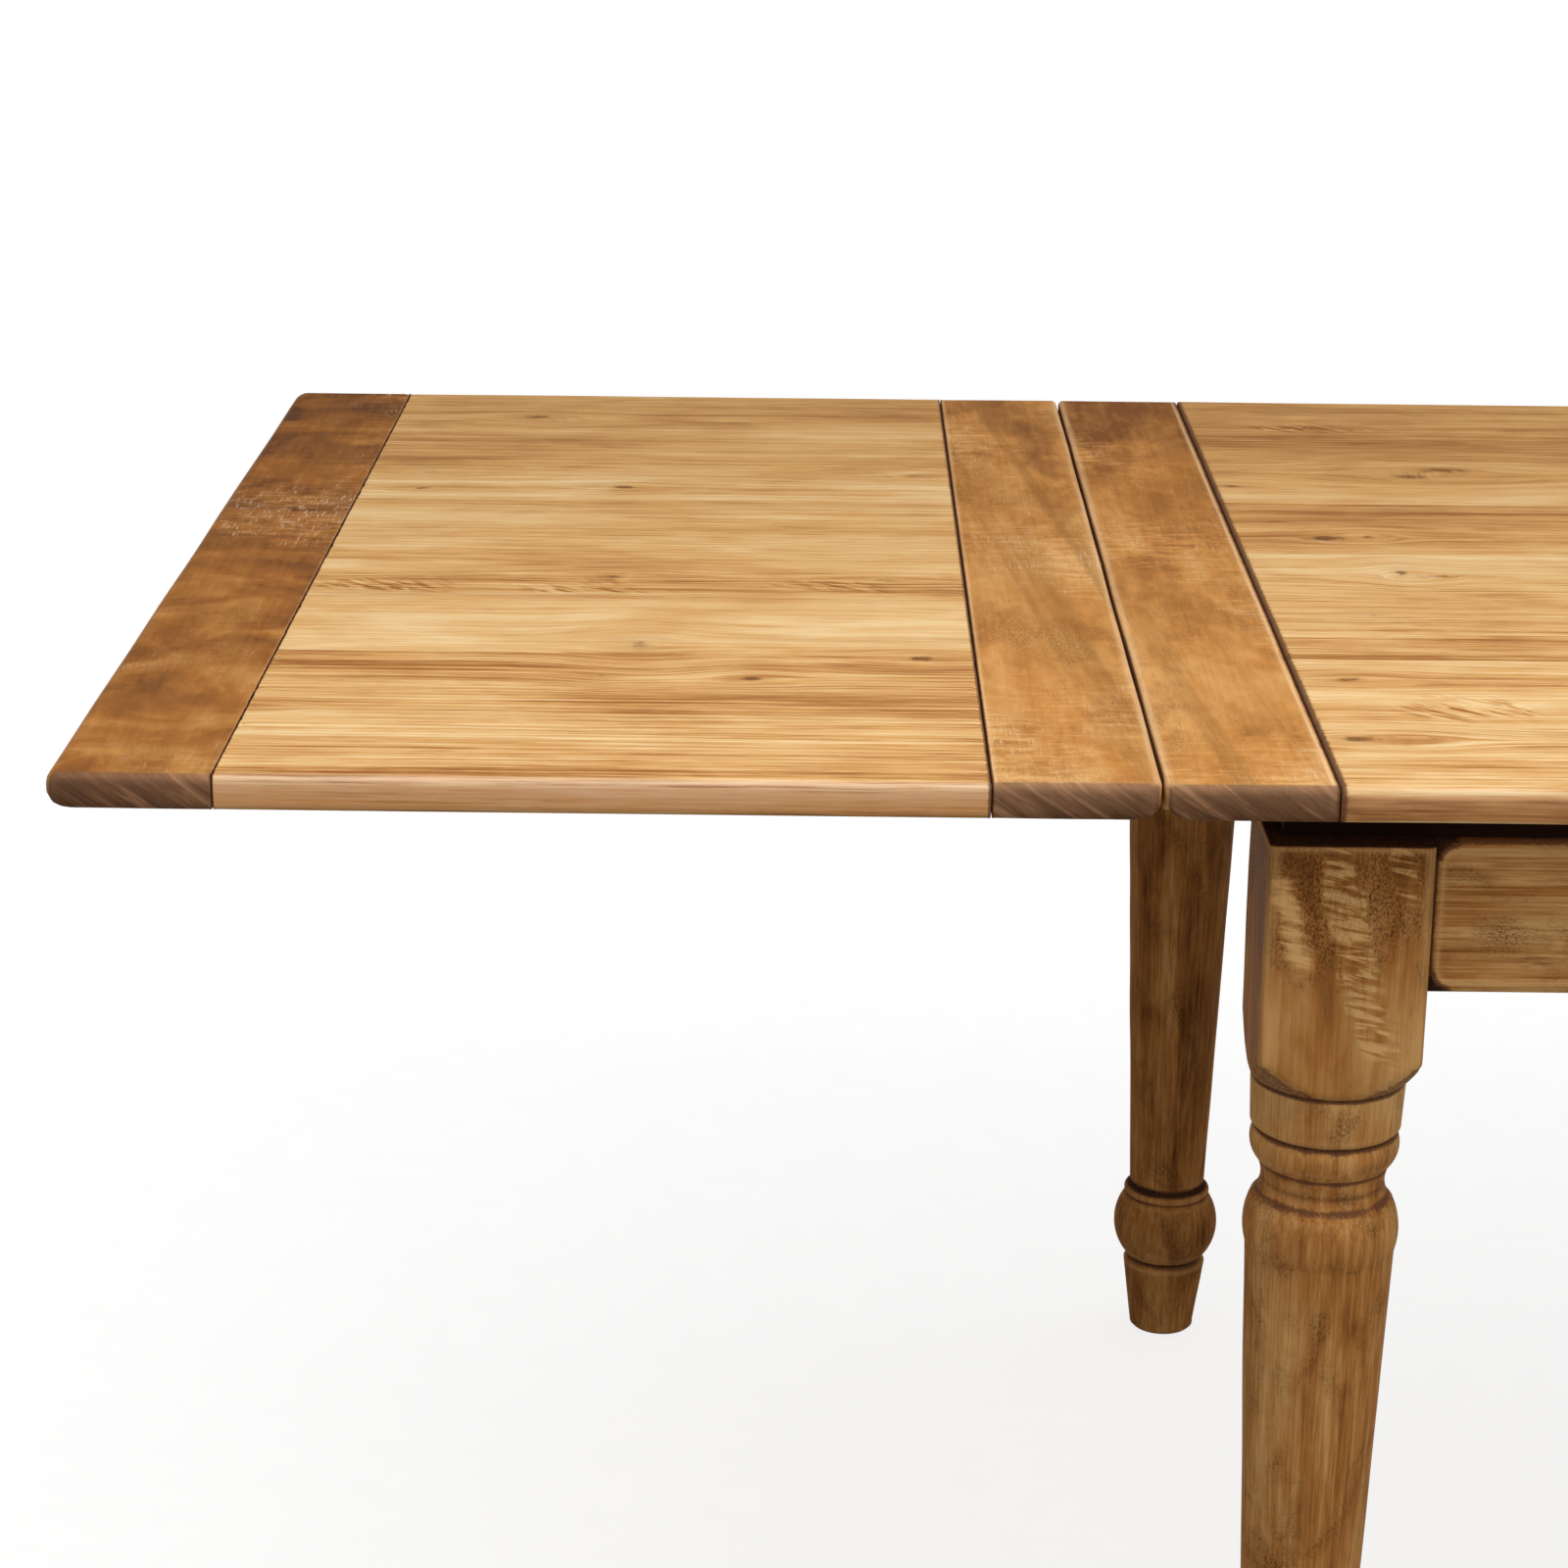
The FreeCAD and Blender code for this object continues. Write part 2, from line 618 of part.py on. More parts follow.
def runner(label, sign, y, quarters):
    """Runner drawn out under a leaf, with its tip at X = 0 and its tail toward +X."""
    body = new_body(label, f"{sign}runner_tip", y, "frame_top + runner_play", quarters)
    plan = rectangle(new_sketch(body, "plan", "XY"), "0", "runner_length", *both_sides("runner_width / 2"))
    pad(plan, "runner_thick")
    round_edges(body, "tip_edges", "runner_edge_round", lambda p: near(p.x, "0"))
    hole = circles(new_sketch(body, "peg_hole", "XY"), [("peg_place", "0")], "peg_width + 2 * peg_play")
    pocket(hole, "peg_seat", flipped=True)
    nodes.append(body)

    peg_top = "frame_top + runner_play + peg_seat"
    peg = new_body(label + "_peg", f"{sign}(runner_tip - peg_place)", y, peg_top, quarters)
    section = circles(new_sketch(peg, "section", "XY"), [("0", "0")], "peg_width")
    pad(section, "peg_seat + peg_drop", flipped=True)
    nodes.append(peg)


runner("left_runner_front", "-", "-outer_runner_y", 0)
runner("left_runner_back", "-", "outer_runner_y", 0)
runner("right_runner_front", "", "-inner_runner_y", 2)
runner("right_runner_back", "", "inner_runner_y", 2)


# Wood screws: the heads sit at the foot of the counterbores

def screws(label, z, places, bite, upward=False):
    """Group of screws whose heads meet the bore at height z."""
    body = new_body(label, "0", "0", z)
    shank = "frame_gap - bore_depth + " + bite
    heads = circles(new_sketch(body, "heads", "XY"), places, "screw_head_width")
    pad(heads, "screw_head_height", flipped=upward)
    shanks = circles(new_sketch(body, "shanks", "XY"), places, "screw_width")
    pad(shanks, shank, flipped=not upward)
    nodes.append(body)


above = "top_underside - bore_depth"
screws("guide_screws", above, [(x, y) for x in guide_xs for y in guide_ys], "screw_bite")
screws("bearer_screws", above, [(x, y) for x in screw_xs for y in both_sides("apron_screw_y")], "screw_bite")
screws("top_screws", "frame_top + bore_depth", top_screw_places, "top_screw_bite", upward=True)


# Check every object and write one file for each node

doc.recompute()
for item in doc.Objects:
    if "Invalid" in item.State or "Error" in item.State:
        raise ValueError(f"{item.Label} is {item.State}")
os.makedirs("parts", exist_ok=True)
for node in nodes:
    if node.Shape.isNull() or not node.Shape.isValid() or not node.Shape.Solids:
        raise ValueError(node.Label + " has no valid solid")
    node.Shape.exportStep(f"parts/{node.Label}.step")
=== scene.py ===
import json
import math

import bpy
import numpy as np
from mathutils import Matrix, Vector

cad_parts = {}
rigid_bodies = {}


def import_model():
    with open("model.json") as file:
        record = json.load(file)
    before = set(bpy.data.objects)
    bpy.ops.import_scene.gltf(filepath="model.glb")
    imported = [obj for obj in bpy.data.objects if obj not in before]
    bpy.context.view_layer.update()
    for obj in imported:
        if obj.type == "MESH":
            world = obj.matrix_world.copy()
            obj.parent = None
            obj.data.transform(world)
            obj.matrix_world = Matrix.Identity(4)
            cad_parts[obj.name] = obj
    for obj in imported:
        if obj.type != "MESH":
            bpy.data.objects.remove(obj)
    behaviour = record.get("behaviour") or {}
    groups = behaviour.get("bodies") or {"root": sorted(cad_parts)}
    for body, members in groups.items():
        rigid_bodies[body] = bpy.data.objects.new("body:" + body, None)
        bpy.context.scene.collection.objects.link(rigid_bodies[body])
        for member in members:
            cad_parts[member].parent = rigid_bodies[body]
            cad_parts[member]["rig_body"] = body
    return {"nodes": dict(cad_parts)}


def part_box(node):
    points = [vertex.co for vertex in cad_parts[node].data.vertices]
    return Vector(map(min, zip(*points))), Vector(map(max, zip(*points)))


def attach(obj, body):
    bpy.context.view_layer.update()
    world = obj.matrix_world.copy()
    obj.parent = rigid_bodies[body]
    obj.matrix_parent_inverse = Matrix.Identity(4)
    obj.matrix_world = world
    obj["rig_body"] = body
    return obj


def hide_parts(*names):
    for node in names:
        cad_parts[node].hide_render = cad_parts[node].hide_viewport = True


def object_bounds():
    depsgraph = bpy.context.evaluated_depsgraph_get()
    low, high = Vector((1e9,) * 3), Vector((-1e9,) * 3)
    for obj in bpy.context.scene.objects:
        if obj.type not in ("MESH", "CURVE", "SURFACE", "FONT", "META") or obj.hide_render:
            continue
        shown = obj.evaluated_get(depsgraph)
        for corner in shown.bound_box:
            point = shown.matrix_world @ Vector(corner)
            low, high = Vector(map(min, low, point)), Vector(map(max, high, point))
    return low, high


# Rustic pine dining table with a loose leaf at each end. Metres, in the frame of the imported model:
# +X along the table, +Y to the back, +Z up.

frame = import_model()
cad_low, cad_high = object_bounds()
MM = 0.001


# Camera at the photograph's viewing angle

IMAGE_WIDTH = 1600
FOCAL_PIXELS = 3771
SENSOR_WIDTH = 36
CAMERA_PLACE = Vector((-0.939, -2.3864, 1.3756))
PITCH, YAW, ROLL = (math.radians(angle) for angle in (17.84, -0.54, 0.48))


def add_camera():
    forward = Vector((math.sin(YAW) * math.cos(PITCH), math.cos(YAW) * math.cos(PITCH), -math.sin(PITCH)))
    level = Vector((math.cos(YAW), -math.sin(YAW), 0))
    upright = level.cross(forward)
    right = math.cos(ROLL) * level + math.sin(ROLL) * upright
    up = right.cross(forward)
    camera = bpy.data.objects.new("camera", bpy.data.cameras.new("camera"))
    camera.data.sensor_width = SENSOR_WIDTH
    camera.data.lens = FOCAL_PIXELS / IMAGE_WIDTH * SENSOR_WIDTH
    turn = Matrix((right, up, -forward)).transposed().to_4x4()
    camera.matrix_world = Matrix.Translation(CAMERA_PLACE) @ turn
    bpy.context.scene.collection.objects.link(camera)
    bpy.context.scene.camera = camera


# Fields over a surface

def rise(low, high, value):
    """Smooth step from 0 at low to 1 at high."""
    share = np.clip((value - low) / (high - low), 0, 1)
    return share * share * (3 - 2 * share)


def close_to(distance, reach):
    """1 where the distance is nil, falling away smoothly over the reach."""
    return np.exp(-(distance / reach) ** 2)


def waves(seed, x, y, length, count=7):
    """Irregular smooth field, mostly between -1 and 1, with swells about the given length across."""
    draw = np.random.default_rng(seed)
    total = np.zeros(np.broadcast(x, y).shape)
    for _ in range(count):
        angle = draw.uniform(0, math.pi)
        pitch = 2 * math.pi / (length * draw.uniform(0.6, 1.9))
        total += np.sin(pitch * (x * math.cos(angle) + y * math.sin(angle)) + draw.uniform(0, 2 * math.pi))
    return np.clip(total / math.sqrt(2 * count), -1, 1)


def shifted(seed, *coordinates):
    """Grain coordinates of a piece, moved so that no two pieces show the same growth."""
    offset = np.random.default_rng(seed).uniform(0, 6, 3)
    return np.stack([values + move for values, move in zip(coordinates, offset)], -1)


def spots(places, x, y):
    """Strongest of a list of soft ovals (x, y, half length, half width, strength) at each point."""
    total = np.zeros(len(x))
    for spot_x, spot_y, half_x, half_y, strength in places:
        far = ((x - spot_x * MM) / (half_x * MM)) ** 2 + ((y - spot_y * MM) / (half_y * MM)) ** 2
        total = np.maximum(total, strength * np.exp(-far))
    return total


# Pieces made from points, faces and fields

FIELDS = ("tone", "lines", "knot", "swirl", "figure", "scraped", "stain", "dirt_and_shade", "wear_and_highlight", "edge", "end")


def add_piece(node, points, faces, grain, fields, slot):
    """Mesh that stands for a CAD node and carries the fields that its material reads."""
    mesh = bpy.data.meshes.new(node + "_dressed")
    mesh.from_pydata(points.tolist(), [], faces)
    mesh.update()
    mesh.polygons.foreach_set("use_smooth", np.ones(len(mesh.polygons), bool))
    store = mesh.attributes.new("grain", "FLOAT_VECTOR", "POINT")
    store.data.foreach_set("vector", np.ascontiguousarray(grain, np.float32).ravel())
    for name in FIELDS:
        values = np.zeros(len(points), np.float32)
        values[:] = fields.get(name, 0)
        mesh.attributes.new(name, "FLOAT", "POINT").data.foreach_set("value", values)
    mesh.materials.append(MATERIALS[slot])
    piece = bpy.data.objects.new(node + "_dressed", mesh)
    bpy.context.scene.collection.objects.link(piece)
    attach(piece, frame["nodes"][node]["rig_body"])
    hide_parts(node)


# Planks: boards, breadboard ends and aprons are all lofted from the same rounded slab

END_STEPS = np.array((0, 1, 2.2, 3.8, 6, 9, 13)) * MM
ROUND_ANGLES = np.radians((0, 22.5, 45, 67.5, 90))
NARROW_STEP = 3 * MM
LINE_CLEARANCE = 0.6 * MM
SLIDE = 22 * MM
UNDER_MARGIN = 5 * MM
SOCKET_RIM = 2.5 * MM
TOLERANCE = 0.01 * MM


def grid_lines(start, end, step):
    """Places of grid lines from start to end, closer together at both ends."""
    inner_start, inner_end = start + END_STEPS[-1], end - END_STEPS[-1]
    if inner_end - inner_start < step:
        return np.linspace(start, end, 2 + round((end - start) / NARROW_STEP))
    count = max(2, 1 + round((inner_end - inner_start) / step))
    middle = np.linspace(inner_start, inner_end, count)
    return np.concatenate((start + END_STEPS[:-1], middle, end - END_STEPS[-2::-1]))


def round_corner(a, b, radius):
    """Moves points, given by their distances from two edges, so that the corner between them is round."""
    inset = np.minimum(a, b)
    reach = np.maximum(radius - inset, 1e-9)
    along = np.abs(a - b)
    angle = np.where(along < reach, math.pi / 4 * (1 - along / reach), 0)
    live = (radius > inset) & (along < reach)
    closer = inset + reach * (1 - np.cos(angle))
    further = inset + reach * (1 - np.sin(angle))
    first = a <= b
    new_a = np.where(live, np.where(first, closer, further), a)
    new_b = np.where(live, np.where(first, further, closer), b)
    return new_a, new_b


class Slab:
    """Surface of a slab with u along the grain, v across it and w up from its under face.

    rounds gives, for the sides u0, u1, v0 and v1, the rounding of the upper and of the under edge. corners
    gives, for the upright corners at v0 and at v1, their rounding at the upper face, sides and under face.
    """

    def __init__(self, size, rounds, corners, step, extra_u=()):
        self.size = size
        self.rounds = rounds
        corners = np.array(corners).T
        length, width, height = size
        upper = [pair[0] for pair in rounds]
        u_lines = grid_lines(upper[0], length - upper[1], step)
        if len(extra_u):
            clear = np.abs(u_lines[:, None] - extra_u).min(1) > LINE_CLEARANCE
            u_lines = np.sort(np.concatenate((u_lines[clear], extra_u)))
        v_lines = grid_lines(upper[2], width - upper[3], step)
        u_count, v_count = len(u_lines), len(v_lines)
        u, v = (grid.ravel() for grid in np.meshgrid(u_lines, v_lines, indexing="ij"))
        number = np.arange(u_count * v_count).reshape(u_count, v_count)
        faces = np.stack((number[:-1, :-1], number[1:, :-1], number[1:, 1:], number[:-1, 1:]), -1)
        self.faces = faces.reshape(-1, 4).tolist()
        ring = np.concatenate((number[:, 0], number[-1, 1:], number[-2::-1, -1], number[0, -2:0:-1]))
        layers = [self.corner_rounded(u, v, np.full(len(u), height), corners[0])]
        sides = np.stack((ring // v_count == 0, ring // v_count == u_count - 1,
                          ring % v_count == 0, ring % v_count == v_count - 1))
        previous = ring
        self.rings = []
        u, v = u_lines[ring // v_count], v_lines[ring % v_count]
        for u, v, w, corner in self.levels(u, v, sides, corners):
            layers.append(self.corner_rounded(u, v, w, corner))
            current = np.arange(len(ring)) + sum(len(layer) for layer in layers[:-1])
            quads = np.stack((previous, current, np.roll(current, -1), np.roll(previous, -1)), -1)
            self.faces.extend(quads.tolist())
            self.rings.append(current)
            previous = current
        self.faces.append(previous[::-1].tolist())
        self.points = np.concatenate(layers)

    def corner_rounded(self, u, v, w, corner):
        length, width, _ = self.size
        a, b = np.minimum(u, length - u), np.minimum(v, width - v)
        a, b = round_corner(a, b, np.where(v < width / 2, *corner))
        new_u = np.where(u < length / 2, a, length - a)
        new_v = np.where(v < width / 2, b, width - b)
        return np.stack((new_u, new_v, w), -1)

    def levels(self, u, v, sides, corners):
        """Rings from the upper face's edge down to the under face, as (u, v, w, corner rounding)."""
        length, width, height = self.size
        upper = np.array([pair[0] for pair in self.rounds])
        under = np.array([pair[1] for pair in self.rounds])
        share = sides / np.maximum(sides.sum(0), 1)
        drop = upper @ share
        lift = under @ share
        at_top, at_side, at_under = corners
        gaps = np.stack((u - upper[0], length - upper[1] - u, v - upper[2], width - upper[3] - v))
        pull = np.clip(1 - gaps / SLIDE, 0, 1)

        def placed(radii, tuck):
            """u and v of the ring when the rounding still tucks in this share of its radius."""
            u_low, u_high, v_low, v_high = pull * (upper - radii * tuck)[:, None]
            return u - u_low + u_high, v - v_low + v_high

        for angle in ROUND_ANGLES[1:]:
            yield (*placed(upper, 1 - math.sin(angle)), height - drop * (1 - math.cos(angle)),
                   at_top + (at_side - at_top) * math.sin(angle))
        for angle in ROUND_ANGLES[::-1]:
            yield (*placed(under, 1 - math.sin(angle)), lift * (1 - math.cos(angle)),
                   at_under + (at_side - at_under) * math.sin(angle))
        yield (*placed(under + UNDER_MARGIN, 1), np.zeros(len(u)), at_under)

    def socket(self, side, centre_u, centre_w, radius, depth):
        """Drills a blind round hole into the upright face at v0 (side -1) or at v1 (side 1)."""
        above, below = self.rings[len(ROUND_ANGLES) - 2], self.rings[len(ROUND_ANGLES) - 1]
        face_v = 0 if side < 0 else self.size[1]
        on_face = np.abs(self.points[above, 1] - face_v) < TOLERANCE
        close = np.flatnonzero(on_face & (np.abs(self.points[above, 0] - centre_u) < radius + SOCKET_RIM))
        covered = {(above[k], below[k], below[k + 1], above[k + 1]) for k in close[:-1]}
        self.faces = [face for face in self.faces if tuple(face) not in covered]
        rim = np.concatenate((below[close], above[close[::-1]]))
        away = self.points[rim][:, [0, 2]] - (centre_u, centre_w)
        circle = radius * away / np.linalg.norm(away, axis=1)[:, None] + (centre_u, centre_w)
        first, count = len(self.points), len(rim)
        for v in (face_v, face_v - side * depth):
            self.points = np.concatenate((self.points, np.insert(circle, 1, v, axis=1)))
        loops = (rim, first + np.arange(count), first + count + np.arange(count))
        for outer, inner in zip(loops[:-1], loops[1:]):
            quads = np.stack((outer, np.roll(outer, -1), np.roll(inner, -1), inner), -1)
            self.faces.extend(quads.tolist())
        self.faces.append(loops[-1].tolist())

    def tongue(self, u_start, u_end, v_start, v_end, w_start, w_end):
        """Adds the tongue that runs from the slab's end into the groove beside it."""
        first = len(self.points)
        corners = [(u, v, w) for u in (u_start, u_end) for v in (v_start, v_end) for w in (w_start, w_end)]
        self.points = np.concatenate((self.points, np.array(corners)))
        for quad in ((0, 1, 3, 2), (4, 6, 7, 5), (0, 4, 5, 1), (2, 3, 7, 6), (0, 2, 6, 4), (1, 5, 7, 3)):
            self.faces.append([first + corner for corner in quad])


def add_slab(node, slab, moved, origin, axes, grain, fields, slot):
    """Adds a slab with its points moved. axes gives the axis and sign that u, v and w run along."""
    turn = np.zeros((3, 3))
    for local, (axis, sign) in enumerate(axes):
        turn[axis, local] = sign
    faces = slab.faces if np.linalg.det(turn) > 0 else [face[::-1] for face in slab.faces]
    add_piece(node, np.stack(moved, -1) @ turn.T + origin, faces, grain, fields, slot)


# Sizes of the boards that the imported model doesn't give as boxes

PACKED_TONGUE = 19 * MM
SEAM_CLOSING = 0.5 * MM  # the dressed boards are this much longer at each end, which narrows the seams
TONGUE_REACH = PACKED_TONGUE - SEAM_CLOSING
TONGUE_SETBACK = 35 * MM
TONGUE_SIDE_GAP = 2 * MM
TONGUE_ROOT = 8 * MM
TONGUE_LOW, TONGUE_HIGH = 7 * MM, 14 * MM
OUTER_ROUND = (6 * MM, 5 * MM)
GAP_ROUND = (3.2 * MM, 3 * MM)
BULLNOSE = (8.5 * MM, 7.5 * MM)
SEAM_UNDER_ROUND = 1.5 * MM
GLUED_ROUND = (0.35 * MM, 0.2 * MM)
SOCKET_LINES = np.arange(-4, 5) * 1.9 * MM
SOCKET_PLAY = 0.3 * MM
SOCKET_SPARE = 2 * MM
SQUARE = (0, 0, 0)
SEAM_CORNERS = (0.5 * MM, 1.5 * MM, 5 * MM)
INNER_CORNERS = (6 * MM, 10 * MM, 19 * MM)
OUTER_CORNERS = (12 * MM, 12 * MM, 15 * MM)
CORNER_REACH = 19 * MM
CORNER_LIFT = 12 * MM
WANDER_REACH = 9 * MM
BOARD_STEP = 3.6 * MM
MAIN_STEP = 4.6 * MM

# Growth features, in millimetres in the part's frame: (x, y, half length, half width, strength)
KNOTS = [
    (-1158, 414, 10, 6, 0.8), (-1079, 181, 9, 5, 0.9), (-1222, 171, 6, 4, 0.7), (-1219, 224, 9, 5, 0.45),
    (-872, 228, 10, 5, 0.6), (-908, 239, 12, 5, 0.5), (-897, -72, 10, 4, 0.7), (-1076, -69, 13, 5, 0.6),
    (-1047, -233, 9, 14, 0.5), (-878, -256, 8, 5, 1.0), (-979, -303, 8, 5, 0.75), (-1069, -301, 5, 3, 0.6),
    (-1262, -368, 5, 3, 0.8), (-597, 53, 16, 7, 1.0), (-568, 58, 7, 5, 0.7), (-558, -40, 5, 8, 0.8),
    (-533, -47, 12, 5, 0.9), (-486, 262, 22, 10, 0.7), (-512, 240, 16, 9, 0.75), (-644, 203, 8, 5, 0.7),
    (-626, 99, 10, 5, 0.6), (-590, -144, 9, 4, 0.5), (-626, -290, 9, 5, 0.8), (-636, -411, 12, 7, 0.85),
    (-594, -411, 8, 4, 0.6), (-250, 330, 14, 8, 0.8), (-120, -90, 12, 7, 0.9), (60, 210, 15, 7, 0.8),
    (230, -310, 11, 6, 0.9), (360, 90, 13, 7, 0.8), (470, -200, 9, 5, 0.7), (590, 340, 15, 8, 0.9),
    (-330, -430, 10, 6, 0.7), (90, 440, 11, 6, 0.7), (540, -440, 12, 6, 0.8),
    (905, 250, 10, 6, 0.9), (1010, -120, 13, 7, 0.8), (1120, 330, 8, 5, 0.8), (1190, -340, 11, 6, 0.9),
    (940, -420, 9, 5, 0.7), (1080, 60, 10, 5, 0.8),
]
RIPPLES = [
    (-1210, -96, 70, 24, 0.9), (-1100, -104, 90, 14, 0.7), (-930, -90, 55, 22, 0.8),
    (-1075, -82, 30, 16, 0.8), (-565, -350, 50, 34, 1.0), (-560, -165, 45, 26, 0.5),
    (-560, 400, 70, 26, 0.8), (-500, 250, 60, 26, 0.6), (-1135, 415, 70, 22, 0.5),
    (-905, 230, 40, 24, 0.55), (-1160, 240, 80, 20, 0.4), (40, -210, 80, 30, 0.8),
    (300, 330, 70, 30, 0.7), (560, -60, 60, 30, 0.8), (1060, -250, 70, 26, 0.8),
]
SHADES = [
    (-1180, -112, 110, 10, 0.7), (-1100, -120, 160, 6, 0.8), (-1130, 478, 90, 14, 0.5),
    (-960, 480, 60, 12, 0.4), (-1000, 130, 200, 10, 0.35), (-560, 340, 160, 22, 0.6),
    (-1000, -380, 220, 6, 0.5), (-930, -345, 150, 4, 0.4), (-880, -215, 160, 8, 0.4),
    (-560, -210, 120, 6, 0.5), (-540, -395, 120, 5, 0.5), (-960, 60, 230, 8, 0.3),
    (-1170, -430, 120, 8, 0.35),
]
# Tone of each board from the near edge to the far one, and the strength of its growth lines
LEAF_TONES = (-0.05, -0.15, 0.14, 0.02, 0.03, 0.13, -0.03, -0.08)
MAIN_TONES = (0.08, 0.05, -0.08, 0.02, -0.12, -0.04, -0.24, -0.14)
LEAF_LINES = (1.5, 1.4, 0.9, 1.5, 1.1, 1.1, 0.9, 0.9)
MAIN_LINES = (1.5, 1.2, 1.4, 1.2, 1.0, 0.8, 0.9, 0.8)


def grain_round_knots(x, y):
    """Place across the grain after the growth lines have been led round the knots."""
    across = y.copy()
    for knot_x, knot_y, half_x, half_y, strength in KNOTS:
        reach_x, reach_y = 5 * half_x * MM, 4 * half_y * MM
        near = np.exp(-((x - knot_x * MM) / reach_x) ** 2 - ((y - knot_y * MM) / reach_y) ** 2)
        across -= 0.8 * min(strength + 0.2, 1) * (y - knot_y * MM) * near
    return across


def board(node, tone, lively, step, seams, edge_stain, seed):
    """Board of a top: u along X. seams gives the width of the open joint at its low and high end."""
    low, high = (np.array(corner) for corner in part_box(node))
    low[0] += TONGUE_REACH
    high[0] -= TONGUE_REACH
    size = high - low
    near_edge = OUTER_ROUND if low[1] < cad_low[1] + MM else GLUED_ROUND
    far_edge = OUTER_ROUND if high[1] > cad_high[1] - MM else GLUED_ROUND
    ends = [(seam, SEAM_UNDER_ROUND) for seam in seams]
    slab = Slab(size, (*ends, near_edge, far_edge), (SQUARE, SQUARE), step)
    inner = (TONGUE_SETBACK if near_edge is OUTER_ROUND else TONGUE_SIDE_GAP,
             size[1] - (TONGUE_SETBACK if far_edge is OUTER_ROUND else TONGUE_SIDE_GAP))
    body_count = len(slab.points)
    slab.tongue(-TONGUE_REACH, TONGUE_ROOT, *inner, TONGUE_LOW, TONGUE_HIGH)
    slab.tongue(size[0] - TONGUE_ROOT, size[0] + TONGUE_REACH, *inner, TONGUE_LOW, TONGUE_HIGH)
    u, v, w = slab.points.T
    x, y = low[0] + u, low[1] + v
    upper = w > size[2] * 0.6
    body = np.arange(len(u)) < body_count

    # a hand-planed face, chipped ends and a slightly wandering outer edge
    end_gap = np.minimum(u, size[0] - u)
    chips = np.clip(waves(seed + 1, v, 3 * u, 14 * MM) - 0.2, 0, 1) * close_to(end_gap, 3.5 * MM)
    dip = 0.22 * MM * (1 + waves(seed, u, 3 * v, 260 * MM)) + 1.2 * MM * chips
    w = w - np.where(upper & body, dip, 0)
    edge_gap = np.full(len(v), size[1])
    for edge, gap, sign in ((near_edge, v, 1), (far_edge, size[1] - v, -1)):
        if edge is OUTER_ROUND:
            wander = 0.5 * MM * (1 + waves(seed + 2, u, 0 * u, 190 * MM))
            v = v + np.where(body, sign * wander * np.exp(-gap / WANDER_REACH), 0)
            edge_gap = np.minimum(edge_gap, gap)

    # dirt in the seams, wear and a painted highlight along the outer edges, growth where the lists put it
    side = (edge_gap < 0.8 * MM) & (w < 0.72 * size[2])
    seam_width = np.where(u < size[0] / 2, *seams)
    halos = [(a, b, 3.4 * c, 2.4 * d, strength) for a, b, c, d, strength in KNOTS]
    fields = {
        "tone": tone + 0.05 * waves(seed + 3, u, 6 * v, 700 * MM) - edge_stain * side,
        "lines": lively * np.where(side, 0.5, 1),
        "knot": spots(KNOTS, x, y),
        "swirl": spots(halos + SHADES, x, y),
        "figure": spots(RIPPLES, x, y),
        "dirt_and_shade": 0.74 * close_to(end_gap, seam_width) * rise(-2 * MM, 0, end_gap),
        # wear and painted highlight on the rounded outer edges
        "wear_and_highlight": (0.9 - 1.6 * max(edge_stain, 0)) * close_to(edge_gap - 1.8 * MM, 1.9 * MM) * upper,
        "edge": side,
    }
    grain = shifted(seed, x, grain_round_knots(x, y), w)
    add_slab(node, slab, (u, v, w), low, ((0, 1), (1, 1), (2, 1)), grain, fields, "boards")


def dowels_into(node, outer_sign):
    """Places along Y, height, radius and reach of the dowels that go into a breadboard end from outside."""
    low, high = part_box(node)
    dowel_low, dowel_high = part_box(("right" if outer_sign > 0 else "left") + "_leaf_dowels")
    radius = (dowel_high.z - dowel_low.z) / 2
    reach = high.x - dowel_low.x if outer_sign > 0 else dowel_high.x - low.x
    return (dowel_low.y + radius, 0, dowel_high.y - radius), dowel_low.z + radius, radius, reach


